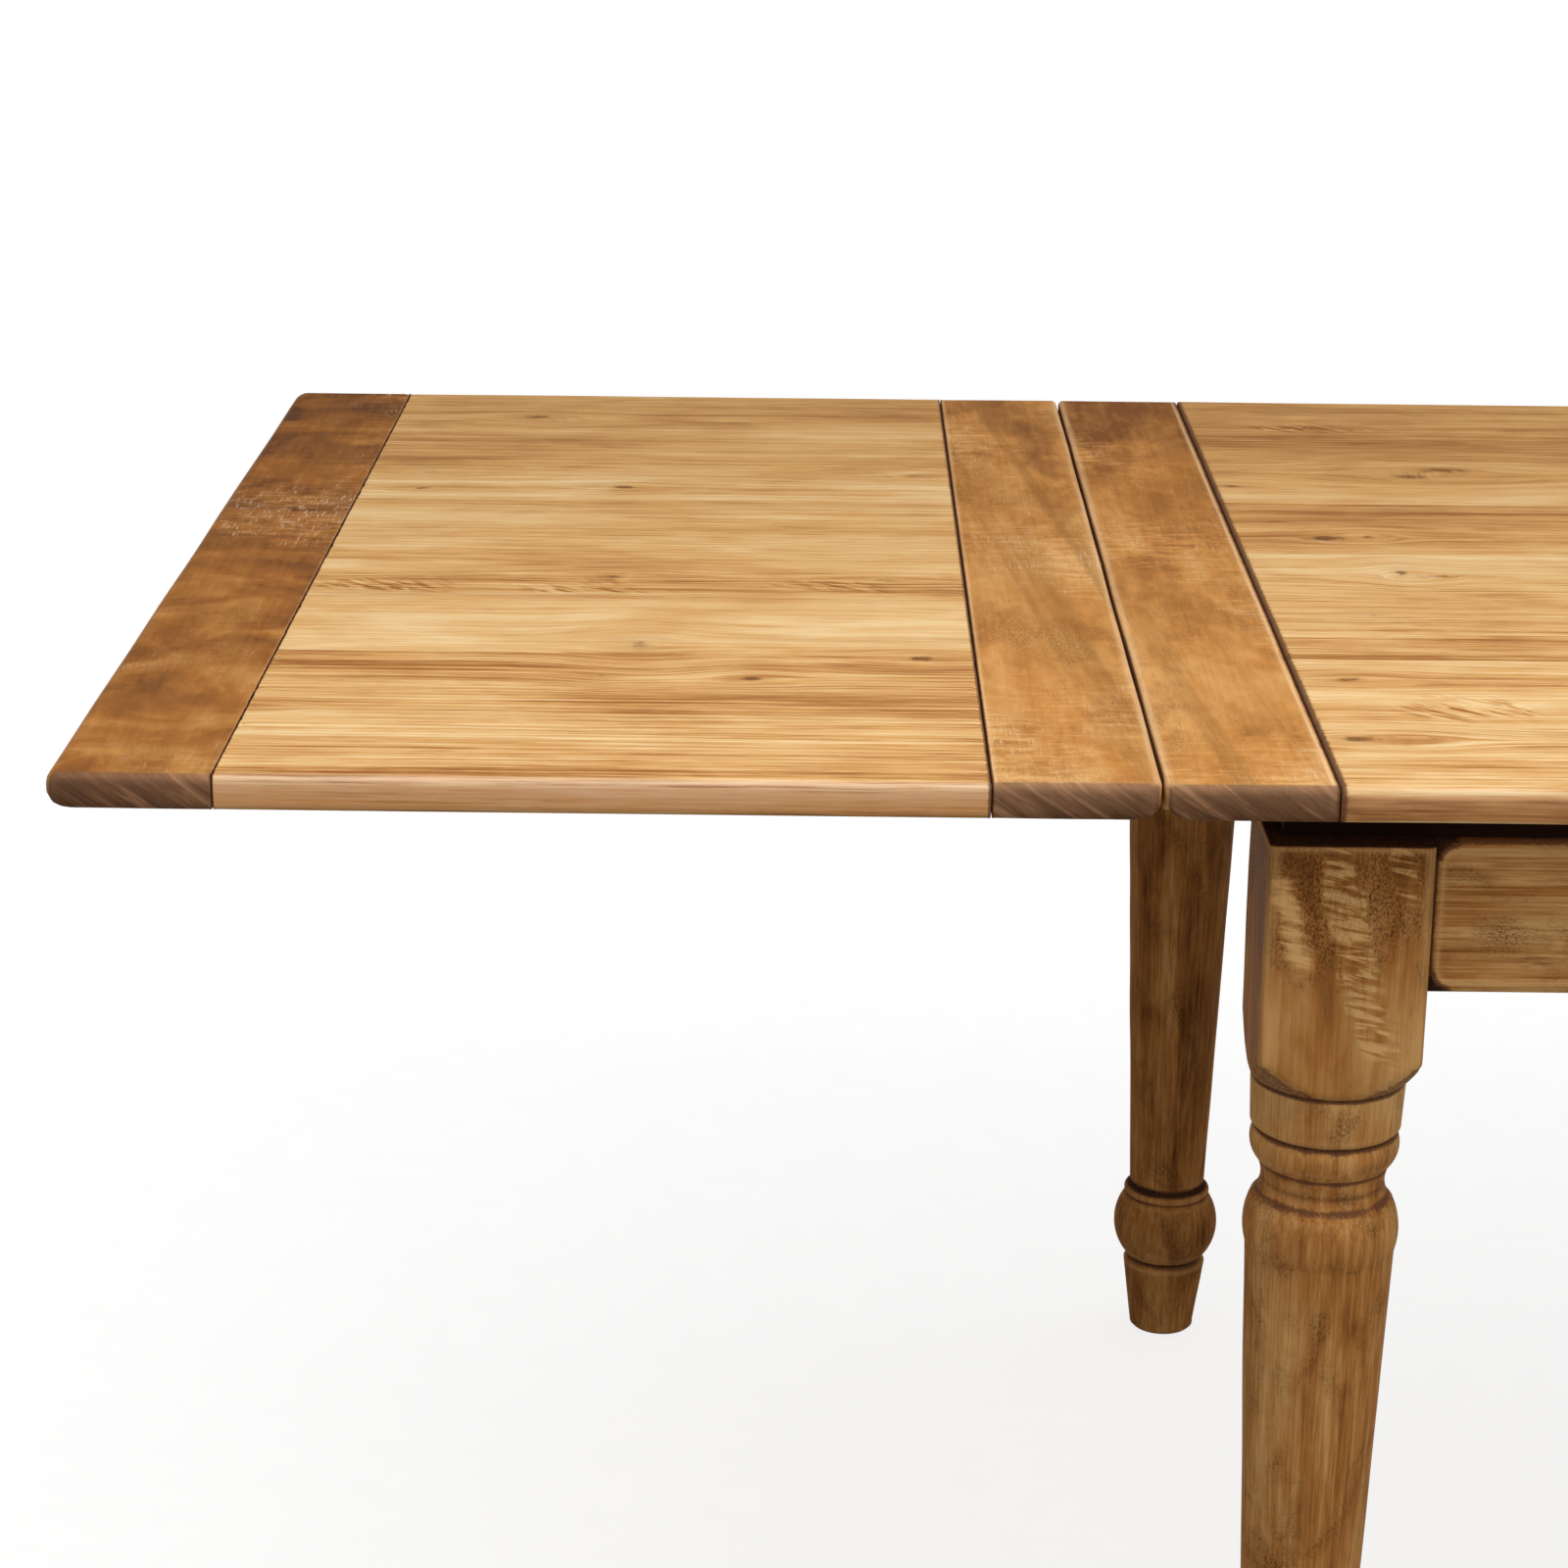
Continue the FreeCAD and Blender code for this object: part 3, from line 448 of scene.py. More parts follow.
def breadboard(node, seed, outer_sign, kind, stain, painted_falloff):
    """Breadboard end: u along Y, v along X. outer_sign is the side of its finished long edge.

    stain is its tone at the near end; the last argument darkens it up to the middle as painted shade.
    """
    edge, seam, corners, slot, drilled = kind
    low, high = (np.array(corner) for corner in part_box(node))
    size = (high - low)[[1, 0, 2]]
    seam_edge = (seam, SEAM_UNDER_ROUND)
    sides = (seam_edge, edge) if outer_sign > 0 else (edge, seam_edge)
    places, level, radius, reach = dowels_into(node, outer_sign) if drilled else ((), 0, 0, 0)
    extra_u = np.array([place - low[1] + SOCKET_LINES for place in places]).ravel()
    ends = (SEAM_CORNERS, corners) if outer_sign > 0 else (corners, SEAM_CORNERS)
    slab = Slab(size, (OUTER_ROUND, OUTER_ROUND, *sides), ends, BOARD_STEP, extra_u)
    for place in places:
        slab.socket(outer_sign, place - low[1], level - low[2], radius + SOCKET_PLAY, reach + SOCKET_SPARE)
    u, v, w = slab.points.T
    x, y = low[0] + v, low[1] + u
    upper = w > size[2] * 0.55
    seam_gap = v if outer_sign > 0 else size[1] - v
    outer_gap = size[1] - seam_gap
    end_gap = np.minimum(u, size[0] - u)

    # a hand-planed face, chipped along the seam and dented
    chips = np.clip(waves(seed + 1, u, 3 * v, 16 * MM) - 0.2, 0, 1) * close_to(seam_gap, 3 * MM)
    dents = np.clip(waves(seed + 4, u, v, 30 * MM) - 0.9, 0, 1)
    dip = 0.3 * MM * (1 + waves(seed, u, 2 * v, 200 * MM)) + 1.0 * MM * chips + 0.8 * MM * dents
    w = w - np.where(upper, dip, 0)

    # an outer edge and ends that wander a little, and corners worn away from below
    loose = 0.2 if edge is GAP_ROUND else 0.6
    wander = loose * MM * (1 + waves(seed + 2, u, 0 * u, 170 * MM)) * np.exp(-outer_gap / WANDER_REACH)
    v = v - (wander if outer_sign > 0 else -wander)
    into_corner = np.clip(1 - outer_gap / CORNER_REACH, 0, 1)
    worn_away = CORNER_LIFT * (1 - np.sqrt(1 - into_corner ** 2)) * rise(24 * MM, 6 * MM, end_gap)
    w = np.maximum(w, worn_away)
    bend = 0.5 * MM * (1 + waves(seed + 5, v, 0 * v, 60 * MM)) * np.exp(-end_gap / WANDER_REACH)
    u = u + np.where(u < size[0] / 2, bend, -bend)

    # dirt in the joints, wear and a painted highlight along the edges, painted shade towards the back,
    # scraped and stained patches
    edge_gap = np.minimum(outer_gap, end_gap)
    # painted shade: the end darkens towards the back
    far_painted_shade = 0.14 * rise(-0.1, 0.5, y)
    in_gap = (edge is GAP_ROUND) * rise(1.3 * MM, 0.2 * MM, outer_gap) * rise(4 * MM, 26 * MM, end_gap)
    fields = {
        "tone": stain + 0.06 * waves(seed + 3, u, 3 * v, 500 * MM) - painted_falloff * rise(-0.4, 0.1, y) - far_painted_shade,
        "lines": 0.35,
        "dirt_and_shade": np.maximum(close_to(seam_gap, 0.55 * seam), 0.55 * in_gap),
        # wear and painted highlight along the rounded edges and beside the seam
        "wear_and_highlight": np.maximum(0.7 * close_to(edge_gap - 2 * MM, 2.2 * MM) * upper,
                           close_to(seam_gap - 1.25 * seam, 0.35 * seam) * upper),
        "stain": 0.5 + 0.4 * waves(seed + 6, u, v, 160 * MM),
        "scraped": 0.35 + 0.35 * waves(seed + 7, u, v, 220 * MM),
        "end": rise(5.2 * MM, 3.2 * MM, end_gap),
    }
    grain = shifted(seed, y, x, w)
    add_slab(node, slab, (u, v, w), low, ((1, 1), (0, 1), (2, 1)), grain, fields, slot)


# Aprons

APRON_ROUND = 6 * MM
APRON_BACK_ROUND = 1 * MM
APRON_CORNER = 16 * MM
APRON_TENON = 40 * MM
APRON_KNOTS = [(-540, 657, 14, 6, 0.6), (140, 690, 12, 7, 0.8)]
APRON_SHADES = [(-540, 657, 50, 14, 0.5), (140, 690, 40, 20, 0.6), (-480, 684, 90, 3, 0.7)]


def apron(node, seed, along, outward):
    """Apron: u along its length, v up it and w out through its face. outward is the face's direction."""
    across, sign = outward
    low, high = (np.array(corner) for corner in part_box(node))
    low[along] += APRON_TENON
    high[along] -= APRON_TENON
    size = np.array((high[along] - low[along], high[2] - low[2], high[across] - low[across]))
    face = (APRON_ROUND, APRON_BACK_ROUND)
    corner = (APRON_CORNER, APRON_BACK_ROUND, APRON_BACK_ROUND)
    slab = Slab(size, (face, face, face, face), (corner, corner), MAIN_STEP)
    u, v, w = slab.points.T
    front = w > size[2] * 0.6
    w = w - np.where(front, 0.5 * MM * (1 + waves(seed, u, 4 * v, 320 * MM)), 0)
    end_gap = np.minimum(u, size[0] - u)
    under_gap = np.minimum(v, size[1] - v)
    into_corner = np.hypot(np.maximum(APRON_CORNER - end_gap, 0), np.maximum(APRON_CORNER - under_gap, 0))
    edge_gap = APRON_CORNER - into_corner
    origin = low.copy()
    if sign < 0:
        origin[across] = high[across]
    place, height = low[along] + u, low[2] + v
    fields = {
        "tone": 0.2 + 0.08 * waves(seed + 3, u, 5 * v, 500 * MM) - 0.16 * rise(60 * MM, 0, end_gap),
        "lines": 1.1,
        "stain": 0.4,
        "knot": spots(APRON_KNOTS, place, height),
        "swirl": spots(APRON_SHADES, place, height),
        "figure": 0.2,
        # painted shade: darker at the rounded ends beside the legs and along the upper edge under the top
        "dirt_and_shade": np.maximum(rise(4.5 * MM, 2 * MM, edge_gap) * (end_gap < APRON_CORNER),
                           0.8 * close_to(size[1] - v, 3 * MM)),
        # a pale line along the rounded edge of the face: wear and painted highlight
        "wear_and_highlight": close_to(edge_gap - 6 * MM, 1.8 * MM) * front,
    }
    grain = shifted(seed, u, v, w)
    axes = ((along, 1), (2, 1), (across, sign))
    add_slab(node, slab, (u, v, w), origin, axes, grain, fields, "frame")


# Legs: a square head that runs out into a turned shaft

HEAD_HEIGHT = 127 * MM
SHOULDER_DROP = 24.4 * MM
NECK_RADIUS = 44.5 * MM
HEAD_EDGE = 4 * MM
HEAD_TOP_ROUND = 2 * MM
HEAD_BLEND = 0.7 * MM
FACE_POINTS = 22
EDGE_POINTS = 7
LEG_STEP = 2.6 * MM


def turned_profile(node, axis, top):
    """Radii and heights of the turned part, from the shoulder down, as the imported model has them."""
    points = np.array([vertex.co for vertex in frame["nodes"][node].data.vertices])
    radius = np.hypot(points[:, 0] - axis[0], points[:, 1] - axis[1])
    rings = {(round(r / MM, 2), round(z / MM, 2)) for r, z in zip(radius, points[:, 2]) if z < top - MM}
    path = [(NECK_RADIUS / MM, top / MM)]
    remaining = sorted(rings, key=lambda ring: -ring[1])
    while remaining:
        level = [ring for ring in remaining if ring[1] > remaining[0][1] - 0.02]
        remaining = remaining[len(level):]
        path.extend(sorted(level, key=lambda ring: abs(ring[0] - path[-1][0])))
    return np.array(path) * MM


class Leg:
    """Surface of a leg: rows of points from its crown down to its foot, columns round its axis."""

    def __init__(self, node, seed):
        low, high = (np.array(corner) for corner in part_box(node))
        self.axis, self.half, self.top = (low + high)[:2] / 2, (high[0] - low[0]) / 2, high[2]
        self.shoulder = self.top - HEAD_HEIGHT - SHOULDER_DROP
        self.square, angles = self.outline()
        rho, self.levels = self.rows(turned_profile(node, self.axis, self.shoulder))
        self.height, self.around = np.meshgrid(self.levels, angles, indexing="ij")
        self.drop = self.top - self.height
        on_square = (rho > self.square - 1.2 * MM) | (self.drop < 3 * MM)
        self.in_head = (self.height > self.shoulder + MM) & on_square
        self.is_turned = self.height < self.shoulder + MM
        self.undercut = close_to(self.height - self.shoulder, 1.5 * MM)
        swell = waves(seed, self.height, 0.2 * np.cos(self.around), 90 * MM)
        self.rho = rho - 0.3 * MM * (1 + swell) * (self.height > 4 * MM) - 1.5 * MM * self.undercut
        self.x, self.y = self.rho * np.cos(self.around), self.rho * np.sin(self.around)

    def outline(self):
        """Radius and angle of points round the head: a flat side and a rounded edge, four times round."""
        half = self.half
        flat = np.linspace(-half + HEAD_EDGE, half - HEAD_EDGE, FACE_POINTS)
        turn = np.linspace(0, math.pi / 2, EDGE_POINTS)[1:-1]
        side_x = np.concatenate((np.full(FACE_POINTS, half), half - HEAD_EDGE * (1 - np.cos(turn))))
        side_y = np.concatenate((flat, half - HEAD_EDGE * (1 - np.sin(turn))))
        angle = np.arctan2(side_y, side_x)
        quarters = [angle + quarter * math.pi / 2 for quarter in range(4)]
        return np.tile(np.hypot(side_x, side_y), 4), np.concatenate(quarters)

    def rows(self, profile):
        """Radius of every point, row by row, and the heights of the rows."""
        crown_turn = np.radians((90, 60, 30))
        crown = self.square - HEAD_TOP_ROUND * (1 - np.cos(crown_turn))[:, None]
        crown_z = self.top - HEAD_TOP_ROUND * (1 - np.sin(crown_turn))

        # the square head runs out softly into a cone, down to the shoulder
        head_z = np.arange(self.top - HEAD_TOP_ROUND, self.shoulder, -LEG_STEP)
        slope = (self.half * math.sqrt(2) - NECK_RADIUS) / SHOULDER_DROP
        cone = NECK_RADIUS + (head_z - self.shoulder) * slope
        beyond = np.clip((self.square - cone[:, None]) / HEAD_BLEND, -40, 40)
        head = self.square - HEAD_BLEND * np.log1p(np.exp(beyond))

        stretches = []
        for start, end in zip(profile[:-1], profile[1:]):
            count = max(1, round(math.dist(start, end) / LEG_STEP))
            stretches.append(np.linspace(start, end, count, endpoint=False))
        radii, heights = np.concatenate((*stretches, profile[-1:])).T
        turned = np.repeat(radii[:, None], len(self.square), 1)
        return np.concatenate((crown, head, turned)), np.concatenate((crown_z, head_z, heights))

    def faces(self):
        number = np.arange(self.rho.size).reshape(self.rho.shape)
        below, beside = np.roll(number, -1, 0), np.roll(number, -1, 1)
        diagonal = np.roll(below, -1, 1)
        quads = np.stack((number, below, diagonal, beside), -1)[:-1].reshape(-1, 4)
        return [*quads.tolist(), number[0].tolist(), number[-1, ::-1].tolist()]

    def face_marks(self, seed):
        """The points of the face shown, and the figure, streak and scraped patch that slant down it."""
        face = np.round(self.around / (math.pi / 2))
        shown = face == (3 if self.axis[1] < 0 else 1)
        sideways = self.rho * np.sin(self.around - face * math.pi / 2)
        draw = np.random.default_rng(seed)
        centre = sideways - draw.uniform(-12, -6) * MM - draw.uniform(0.2, 0.28) * self.drop
        figure = np.maximum(close_to(centre, 11 * MM) * rise(150 * MM, 105 * MM, self.drop),
                            close_to(centre - 36 * MM, 9 * MM) * rise(48 * MM, 25 * MM, self.drop))
        streak = close_to(centre + 20 * MM, 9 * MM)
        patch = sideways + draw.uniform(24, 32) * MM - 0.3 * (self.drop - 50 * MM)
        scraped = 0.85 * close_to(patch, 11 * MM)
        scraped *= rise(95 * MM, 60 * MM, self.drop) * rise(2 * MM, 24 * MM, self.drop)
        return shown, figure, streak, scraped

    def fields(self, seed, shade):
        """Fields for the material: hollows hold dirt and painted shade, crests wear and painted highlight.
        """
        drop, in_head, is_turned = self.drop, self.in_head, self.is_turned
        usual = [self.rho[np.abs(self.levels - level) < 6 * MM].mean() for level in self.levels]
        relief = self.rho - np.array(usual)[:, None]
        hollow = np.clip(-relief / (1.5 * MM), 0, 1)
        crest = np.clip(relief / (2.5 * MM), 0, 1)
        corner_wear_and_highlight = close_to(self.square - self.half * math.sqrt(2) + 2 * MM, 1.6 * MM) * in_head
        rim_wear_and_highlight = close_to(self.height - self.top + 2 * MM, 1.5 * MM)
        shown, figure, streak, scraped = self.face_marks(seed)
        head_tone = 0.16 * rise(60 * MM, 125 * MM, drop) - 0.12 * rise(40 * MM, 4 * MM, drop)
        head_tone -= 0.16 * streak
        neck_tone = 0.02 + 0.24 * rise(self.shoulder - 60 * MM, self.shoulder, self.height)
        # painted shade: the crown's top nearly black, in the shadow of the top, and the shoulder cone half
        # dark
        head_painted_shade = np.where(in_head, drop < 0.3 * MM, 0.4)
        return {
            # painted shade: the head's faces other than the shown one are darker
            "tone": shade + np.where(in_head, np.where(shown, head_tone, -0.1), neck_tone),
            "lines": np.where(in_head, 0.3, 0.6),
            "figure": np.where(shown, np.where(is_turned, 0.1, 0.15 + figure), 0),
            "scraped": np.where(shown, scraped * in_head, 0),
            "stain": np.where(in_head, 0.25 + 0.75 * rise(110 * MM, 25 * MM, drop), 0.4),
            # dirt and painted shade in the turning's hollows and in the line under the head
            "dirt_and_shade": np.where(is_turned, np.maximum(hollow, 0.9 * self.undercut), head_painted_shade),
            # wear and painted highlight on the turning's crests, the head's corners and its rim
            "wear_and_highlight": np.where(is_turned, 0.8 * crest, np.maximum(0.55 * corner_wear_and_highlight, 0.6 * rim_wear_and_highlight)),
        }


def leg(node, seed, shade):
    """Leg with its grain upright. shade is added to the tone of the whole leg; it paints shade on the back
    legs.
    """
    shape = Leg(node, seed)
    points = np.stack((shape.axis[0] + shape.x, shape.axis[1] + shape.y, shape.height), -1).reshape(-1, 3)
    fields = {name: values.ravel() for name, values in shape.fields(seed, shade).items()}
    grain = shifted(seed, shape.height, shape.x, shape.y).reshape(-1, 3)
    add_piece(node, points, shape.faces(), grain, fields, "frame")


# Materials

def colour(red, green, blue):
    """Colour as seen on screen, 0 to 255, as Blender's linear colour."""
    seen = np.array((red, green, blue)) / 255
    linear = np.where(seen <= 0.04045, seen / 12.92, ((seen + 0.055) / 1.055) ** 2.4)
    return (*linear.tolist(), 1)


class Tree:
    """Short calls for building the nodes of a material or a world."""

    def __init__(self, owner):
        owner.use_nodes = True
        self.owner = owner
        self.nodes, self.links = owner.node_tree.nodes, owner.node_tree.links
        self.shader = self.nodes.get("Principled BSDF")

    def feed(self, socket, value):
        if isinstance(value, bpy.types.NodeSocket):
            self.links.new(value, socket)
        else:
            socket.default_value = value

    def node(self, kind, *values, **settings):
        """Outputs of a new node that has these settings and takes these values at its first inputs."""
        node = self.nodes.new("ShaderNode" + kind)
        for name, setting in settings.items():
            setattr(node, name, setting)
        for socket, value in zip(node.inputs, values):
            self.feed(socket, value)
        return node.outputs

    def field(self, name, vector=False):
        return self.node("Attribute", attribute_name=name)["Vector" if vector else "Fac"]

    def place(self):
        return self.node("TexCoord")["Object"]

    def math(self, operation, first, second=0.0):
        return self.node("Math", first, second, operation=operation)[0]

    def add(self, *values):
        total = values[0]
        for value in values[1:]:
            total = self.math("ADD", total, value)
        return total

    def times(self, first, second):
        return self.math("MULTIPLY", first, second)

    def swing(self, value, amount):
        """Part of a sum: the value about its middle, times the amount."""
        return self.times(self.math("SUBTRACT", value, 0.5), amount)

    def step(self, value, low, high):
        """Smooth step from 0 at low to 1 at high."""
        return self.node("MapRange", value, low, high, interpolation_type="SMOOTHSTEP")["Result"]

    def noise(self, vector, per_metre, detail=3.0, roughness=0.55, warp=0.0):
        stretched = self.node("VectorMath", vector, per_metre, operation="MULTIPLY")["Vector"]
        node = self.nodes.new("ShaderNodeTexNoise")
        values = {"Vector": stretched, "Scale": 1, "Detail": detail, "Roughness": roughness,
                  "Distortion": warp}
        for name, value in values.items():
            self.feed(node.inputs[name], value)
        return node.outputs["Fac"]

    def ramp(self, value, places, shades):
        node = self.nodes.new("ShaderNodeValToRGB")
        self.feed(node.inputs["Fac"], value)
        elements = node.color_ramp.elements
        while len(elements) < len(shades):
            elements.new(0.5)
        for element, place, shade in zip(elements, places, shades):
            element.position = place
            element.color = shade
        return node.outputs["Color"]

    def mix(self, share, first, second):
        node = self.nodes.new("ShaderNodeMix")
        node.data_type = "RGBA"
        self.feed(node.inputs[0], share)
        self.feed(node.inputs[6], first)
        self.feed(node.inputs[7], second)
        return node.outputs[2]

    def split(self, vector):
        return self.node("SeparateXYZ", vector)

    def joined(self, x, y, z):
        return self.node("CombineXYZ", x, y, z)[0]

    def finish(self, base, roughness, height, depth):
        self.feed(self.shader.inputs["Base Color"], base)
        self.feed(self.shader.inputs["Roughness"], roughness)
        bump = self.nodes.new("ShaderNodeBump")
        bump.inputs["Distance"].default_value = depth
        self.feed(bump.inputs["Height"], height)
        self.feed(self.shader.inputs["Normal"], bump.outputs["Normal"])
        return self.owner

    def seen_directly(self):
        """1 where a camera, glossy or transmission ray looks, 0 for the light that falls on the table."""
        ray = self.node("LightPath")
        seen = self.math("MAXIMUM", ray["Is Camera Ray"], ray["Is Glossy Ray"])
        return self.math("MAXIMUM", seen, ray["Is Transmission Ray"])


# colours of dirt in the joints and of painted shade in hollows, under the top and between parts
DIRT_AND_SHADE = colour(50, 33, 25)
BARK = colour(112, 72, 48)
EDGE = (colour(124, 72, 36), colour(226, 158, 98), colour(240, 186, 136))
OLIVE = colour(150, 102, 48)
SAWN = (colour(84, 58, 45), colour(112, 79, 59), colour(168, 124, 92))
KNOT = colour(92, 52, 24)
HALO = colour(176, 116, 60)
SCRATCH = colour(232, 206, 172)
WAX_SHINE = 0.022
PINE_PLACES = (0.1, 0.5, 0.9)
PINE_RELIEF = 0.35 * MM
PLANED_RELIEF = 0.3 * MM
PLATED_RELIEF = 0.05 * MM
ZINC = (colour(120, 112, 98), colour(176, 174, 170), colour(198, 196, 190))


class Pine(Tree):
    """Waxed pine that reads the fields of a dressed mesh: a base colour with paints laid over it."""

    def __init__(self, name, lean):
        super().__init__(bpy.data.materials.new(name))
        self.grain = self.field("grain", vector=True)
        self.along, self.across, self.depth = self.split(self.grain)
        leaned = self.add(self.along, self.times(self.across, lean))
        self.leaning = self.joined(leaned, self.across, self.depth)
        self.fibre = self.noise(self.grain, (16, 620, 620), 4, 0.65)
        self.line = self.noise(self.grain, (2.2, 360, 360), 4, 0.65)
        self.patch = self.noise(self.grain, (22, 60, 60), 3, 0.55, 0.8)
        self.figure = self.ragged("figure", self.patch, 1.2, 0.35, 0.95)
        torn = self.noise(self.leaning, (190, 45, 45), 4, 0.6, 0.6)
        self.scraped = self.ragged("scraped", torn, 1.5, 0.35, 0.95)

    def ragged(self, name, noise, amount, low, high):
        """Field of the mesh with a border that the noise makes ragged."""
        return self.step(self.add(self.field(name), self.swing(noise, amount)), low, high)

    def cover(self, share, strength, paint):
        """Lays a paint over the base colour."""
        self.base = self.mix(self.times(share, strength), self.base, paint)

    def growth(self, streak, fine, band):
        """Lines along the grain: growth rings that wander, fibres, bands, dark and bright streaks."""
        wide = self.noise(self.grain, (1.0, 36, 36), 4, 0.55, 0.2)
        smudge = self.step(self.noise(self.grain, (7, 48, 48), 3, 0.55, 0.5), 0.54, 0.72)
        bright = self.step(self.noise(self.grain, (3, 80, 80), 3, 0.55), 0.54, 0.7)
        drift = self.noise(self.grain, (1.6, 14, 14), 2, 0.5)
        ring = self.math("SINE", self.add(self.times(self.across, 900), self.times(drift, 40)))
        lines = self.add(self.swing(self.line, streak), self.swing(self.fibre, fine),
                         self.swing(wide, band), self.times(ring, 0.04),
                         self.times(smudge, -0.12 * streak), self.times(bright, 0.1 * streak))
        return self.times(lines, self.field("lines"))

    def ripple(self, bar_size, curl):
        """Short bars across the grain where the figure is strong."""
        bars = self.step(self.noise(self.leaning, bar_size, 2, 0.5, 0.6), 0.42, 0.64)
        return self.times(self.times(self.add(bars, -0.25), self.figure), curl)

    def stains(self, vein, speckle, dark):
        """Olive veins, and clouds of fine dark specks that spare scraped and figured places."""
        sloping = self.add(self.across, self.times(self.along, 0.1))
        oblique = self.joined(self.add(self.along, self.times(self.across, 6)), sloping, self.depth)
        veins = self.step(self.noise(oblique, (1.4, 36, 36), 4, 0.6, 0.4), 0.48, 0.68)
        self.cover(veins, vein, OLIVE)
        cloudy = self.noise(self.grain, (22, 34, 34), 4, 0.6, 0.6)
        stained = self.ragged("stain", cloudy, 2.4, 0.3, 1.0)
        stained = self.times(stained, self.math("SUBTRACT", 1.0, self.scraped))
        stained = self.times(stained, self.math("SUBTRACT", 1.0, self.times(self.figure, 0.5)))
        specks = self.step(self.noise(self.grain, (540, 920, 920), 3, 0.65), 0.4, 0.64)
        self.cover(self.times(self.add(self.times(specks, 0.8), 0.2), stained), speckle, dark)

    def knots(self, fleck):
        """Torn flecks in figured places, halos and knots. Gives the knots' cores, which lie deeper."""
        flecks = self.step(self.noise(self.grain, (80, 430, 430), 3, 0.6, 0.5), 0.6, 0.7)
        self.cover(self.times(flecks, self.figure), fleck, KNOT)
        veined = self.step(self.noise(self.grain, (14, 190, 190), 3), 0.3, 0.7)
        self.cover(self.times(self.field("swirl"), veined), 0.8, HALO)
        core = self.ragged("knot", self.noise(self.grain, (70, 330, 330), 4, 0.7), 1.5, 0.25, 0.8)
        self.cover(core, 0.75, KNOT)
        return core

    def scratches(self, scrape):
        """Pale strokes in scraped places, in two directions that cross."""
        scuffed = self.ragged("scraped", self.patch, 1.2, 0.3, 0.8)
        brushed = self.joined(self.add(self.along, self.times(self.across, 0.35)), self.across, 0.0)
        crossed = self.joined(self.add(self.across, self.times(self.along, 0.5)), self.along, 0.0)
        strokes = self.step(self.noise(brushed, (55, 620, 1), 2), 0.58, 0.68)
        cuts = self.step(self.noise(crossed, (50, 560, 1), 2), 0.6, 0.7)
        self.cover(self.times(self.math("MAXIMUM", strokes, cuts), scuffed), scrape, SCRATCH)

    def sawn_ends(self, blotch):
        """Slanting rays of the end grain."""
        slant = self.joined(self.add(self.across, self.times(self.depth, 1.4)), self.depth, self.along)
        rays = self.add(self.noise(slant, (110, 22, 22), 4, 0.65, 0.8), self.swing(blotch, 0.4))
        sawn = self.ramp(rays, (0.38, 0.52, 0.68), SAWN)
        # the upper rounding of the end is paler: wear and painted highlight
        sawn = self.mix(self.times(self.field("wear_and_highlight"), 0.6), sawn, SAWN[2])
        self.cover(self.field("end"), 0.9, sawn)

    def dirt_and_shade(self):
        """Crumbly dirt and painted shade with a brown border. Gives its dark middle, which is duller."""
        crumbs = self.noise(self.grain, (380, 700, 700), 3)
        self.cover(self.ragged("dirt_and_shade", crumbs, 0.6, 0.15, 0.5), 0.9, BARK)
        grime_and_shade = self.ragged("dirt_and_shade", crumbs, 0.6, 0.65, 1.05)
        self.cover(grime_and_shade, 0.93, DIRT_AND_SHADE)
        return grime_and_shade


def pine(name, shades, wear_and_highlight_colour, streak, fine, band, cloud, cloud_size, mottle, curl=0.0,
         bar_size=(300, 40, 40), lean=0.0, fleck=0.0, vein=0.0, speckle=0.0, scrape=0.0):
    """Waxed pine of the dressed pieces.

    shades runs from dark to pale, and the colour after it is that of rubbed edges and of the highlights
    painted along them. streak, fine and band are the contrast of lines along the grain, cloud and mottle
    that of patches. curl is the strength of the bars across the grain and lean their slope, fleck is the
    strength of torn spots, vein that of olive streaks, speckle that of dark stains and scrape that of pale
    scratches.
    """
    wood = Pine(name, lean)
    blotch = wood.noise(wood.grain, cloud_size, 4, 0.55, 0.9)
    value = wood.add(0.5, wood.growth(streak, fine, band), wood.swing(blotch, cloud),
                     wood.swing(wood.patch, mottle), wood.ripple(bar_size, curl),
                     wood.times(wood.scraped, 0.35), wood.field("tone"))
    wood.base = wood.ramp(value, PINE_PLACES, shades)
    wood.cover(wood.field("edge"), 0.85, wood.ramp(value, PINE_PLACES, EDGE))
    pores = wood.noise(wood.grain, (50, 1400, 1400), 2, 0.5)
    wood.cover(wood.step(pores, 0.6, 0.75), 0.35, shades[0])
    if speckle:
        wood.stains(vein, speckle, shades[0])
    core = wood.knots(fleck)
    # rubbed edges and crests with highlights painted along them: wear and painted highlight
    wood.cover(wood.times(wood.field("wear_and_highlight"), wood.step(wood.fibre, 0.15, 0.6)), 0.85, wear_and_highlight_colour)
    if scrape:
        wood.scratches(scrape)
    wood.sawn_ends(blotch)
    grime_and_shade = wood.dirt_and_shade()

    wood.shader.inputs["Specular IOR Level"].default_value = WAX_SHINE
    roughness = wood.add(0.62, wood.swing(blotch, 0.3), wood.swing(wood.fibre, 0.25),
                         wood.times(grime_and_shade, 0.25))
    raised = wood.add(wood.swing(wood.fibre, 0.5), wood.swing(wood.line, 0.6))
    height = wood.add(wood.times(raised, wood.field("lines")), wood.times(pores, -0.3),
                      wood.times(core, -0.4))
    return wood.finish(wood.base, roughness, height, PINE_RELIEF)


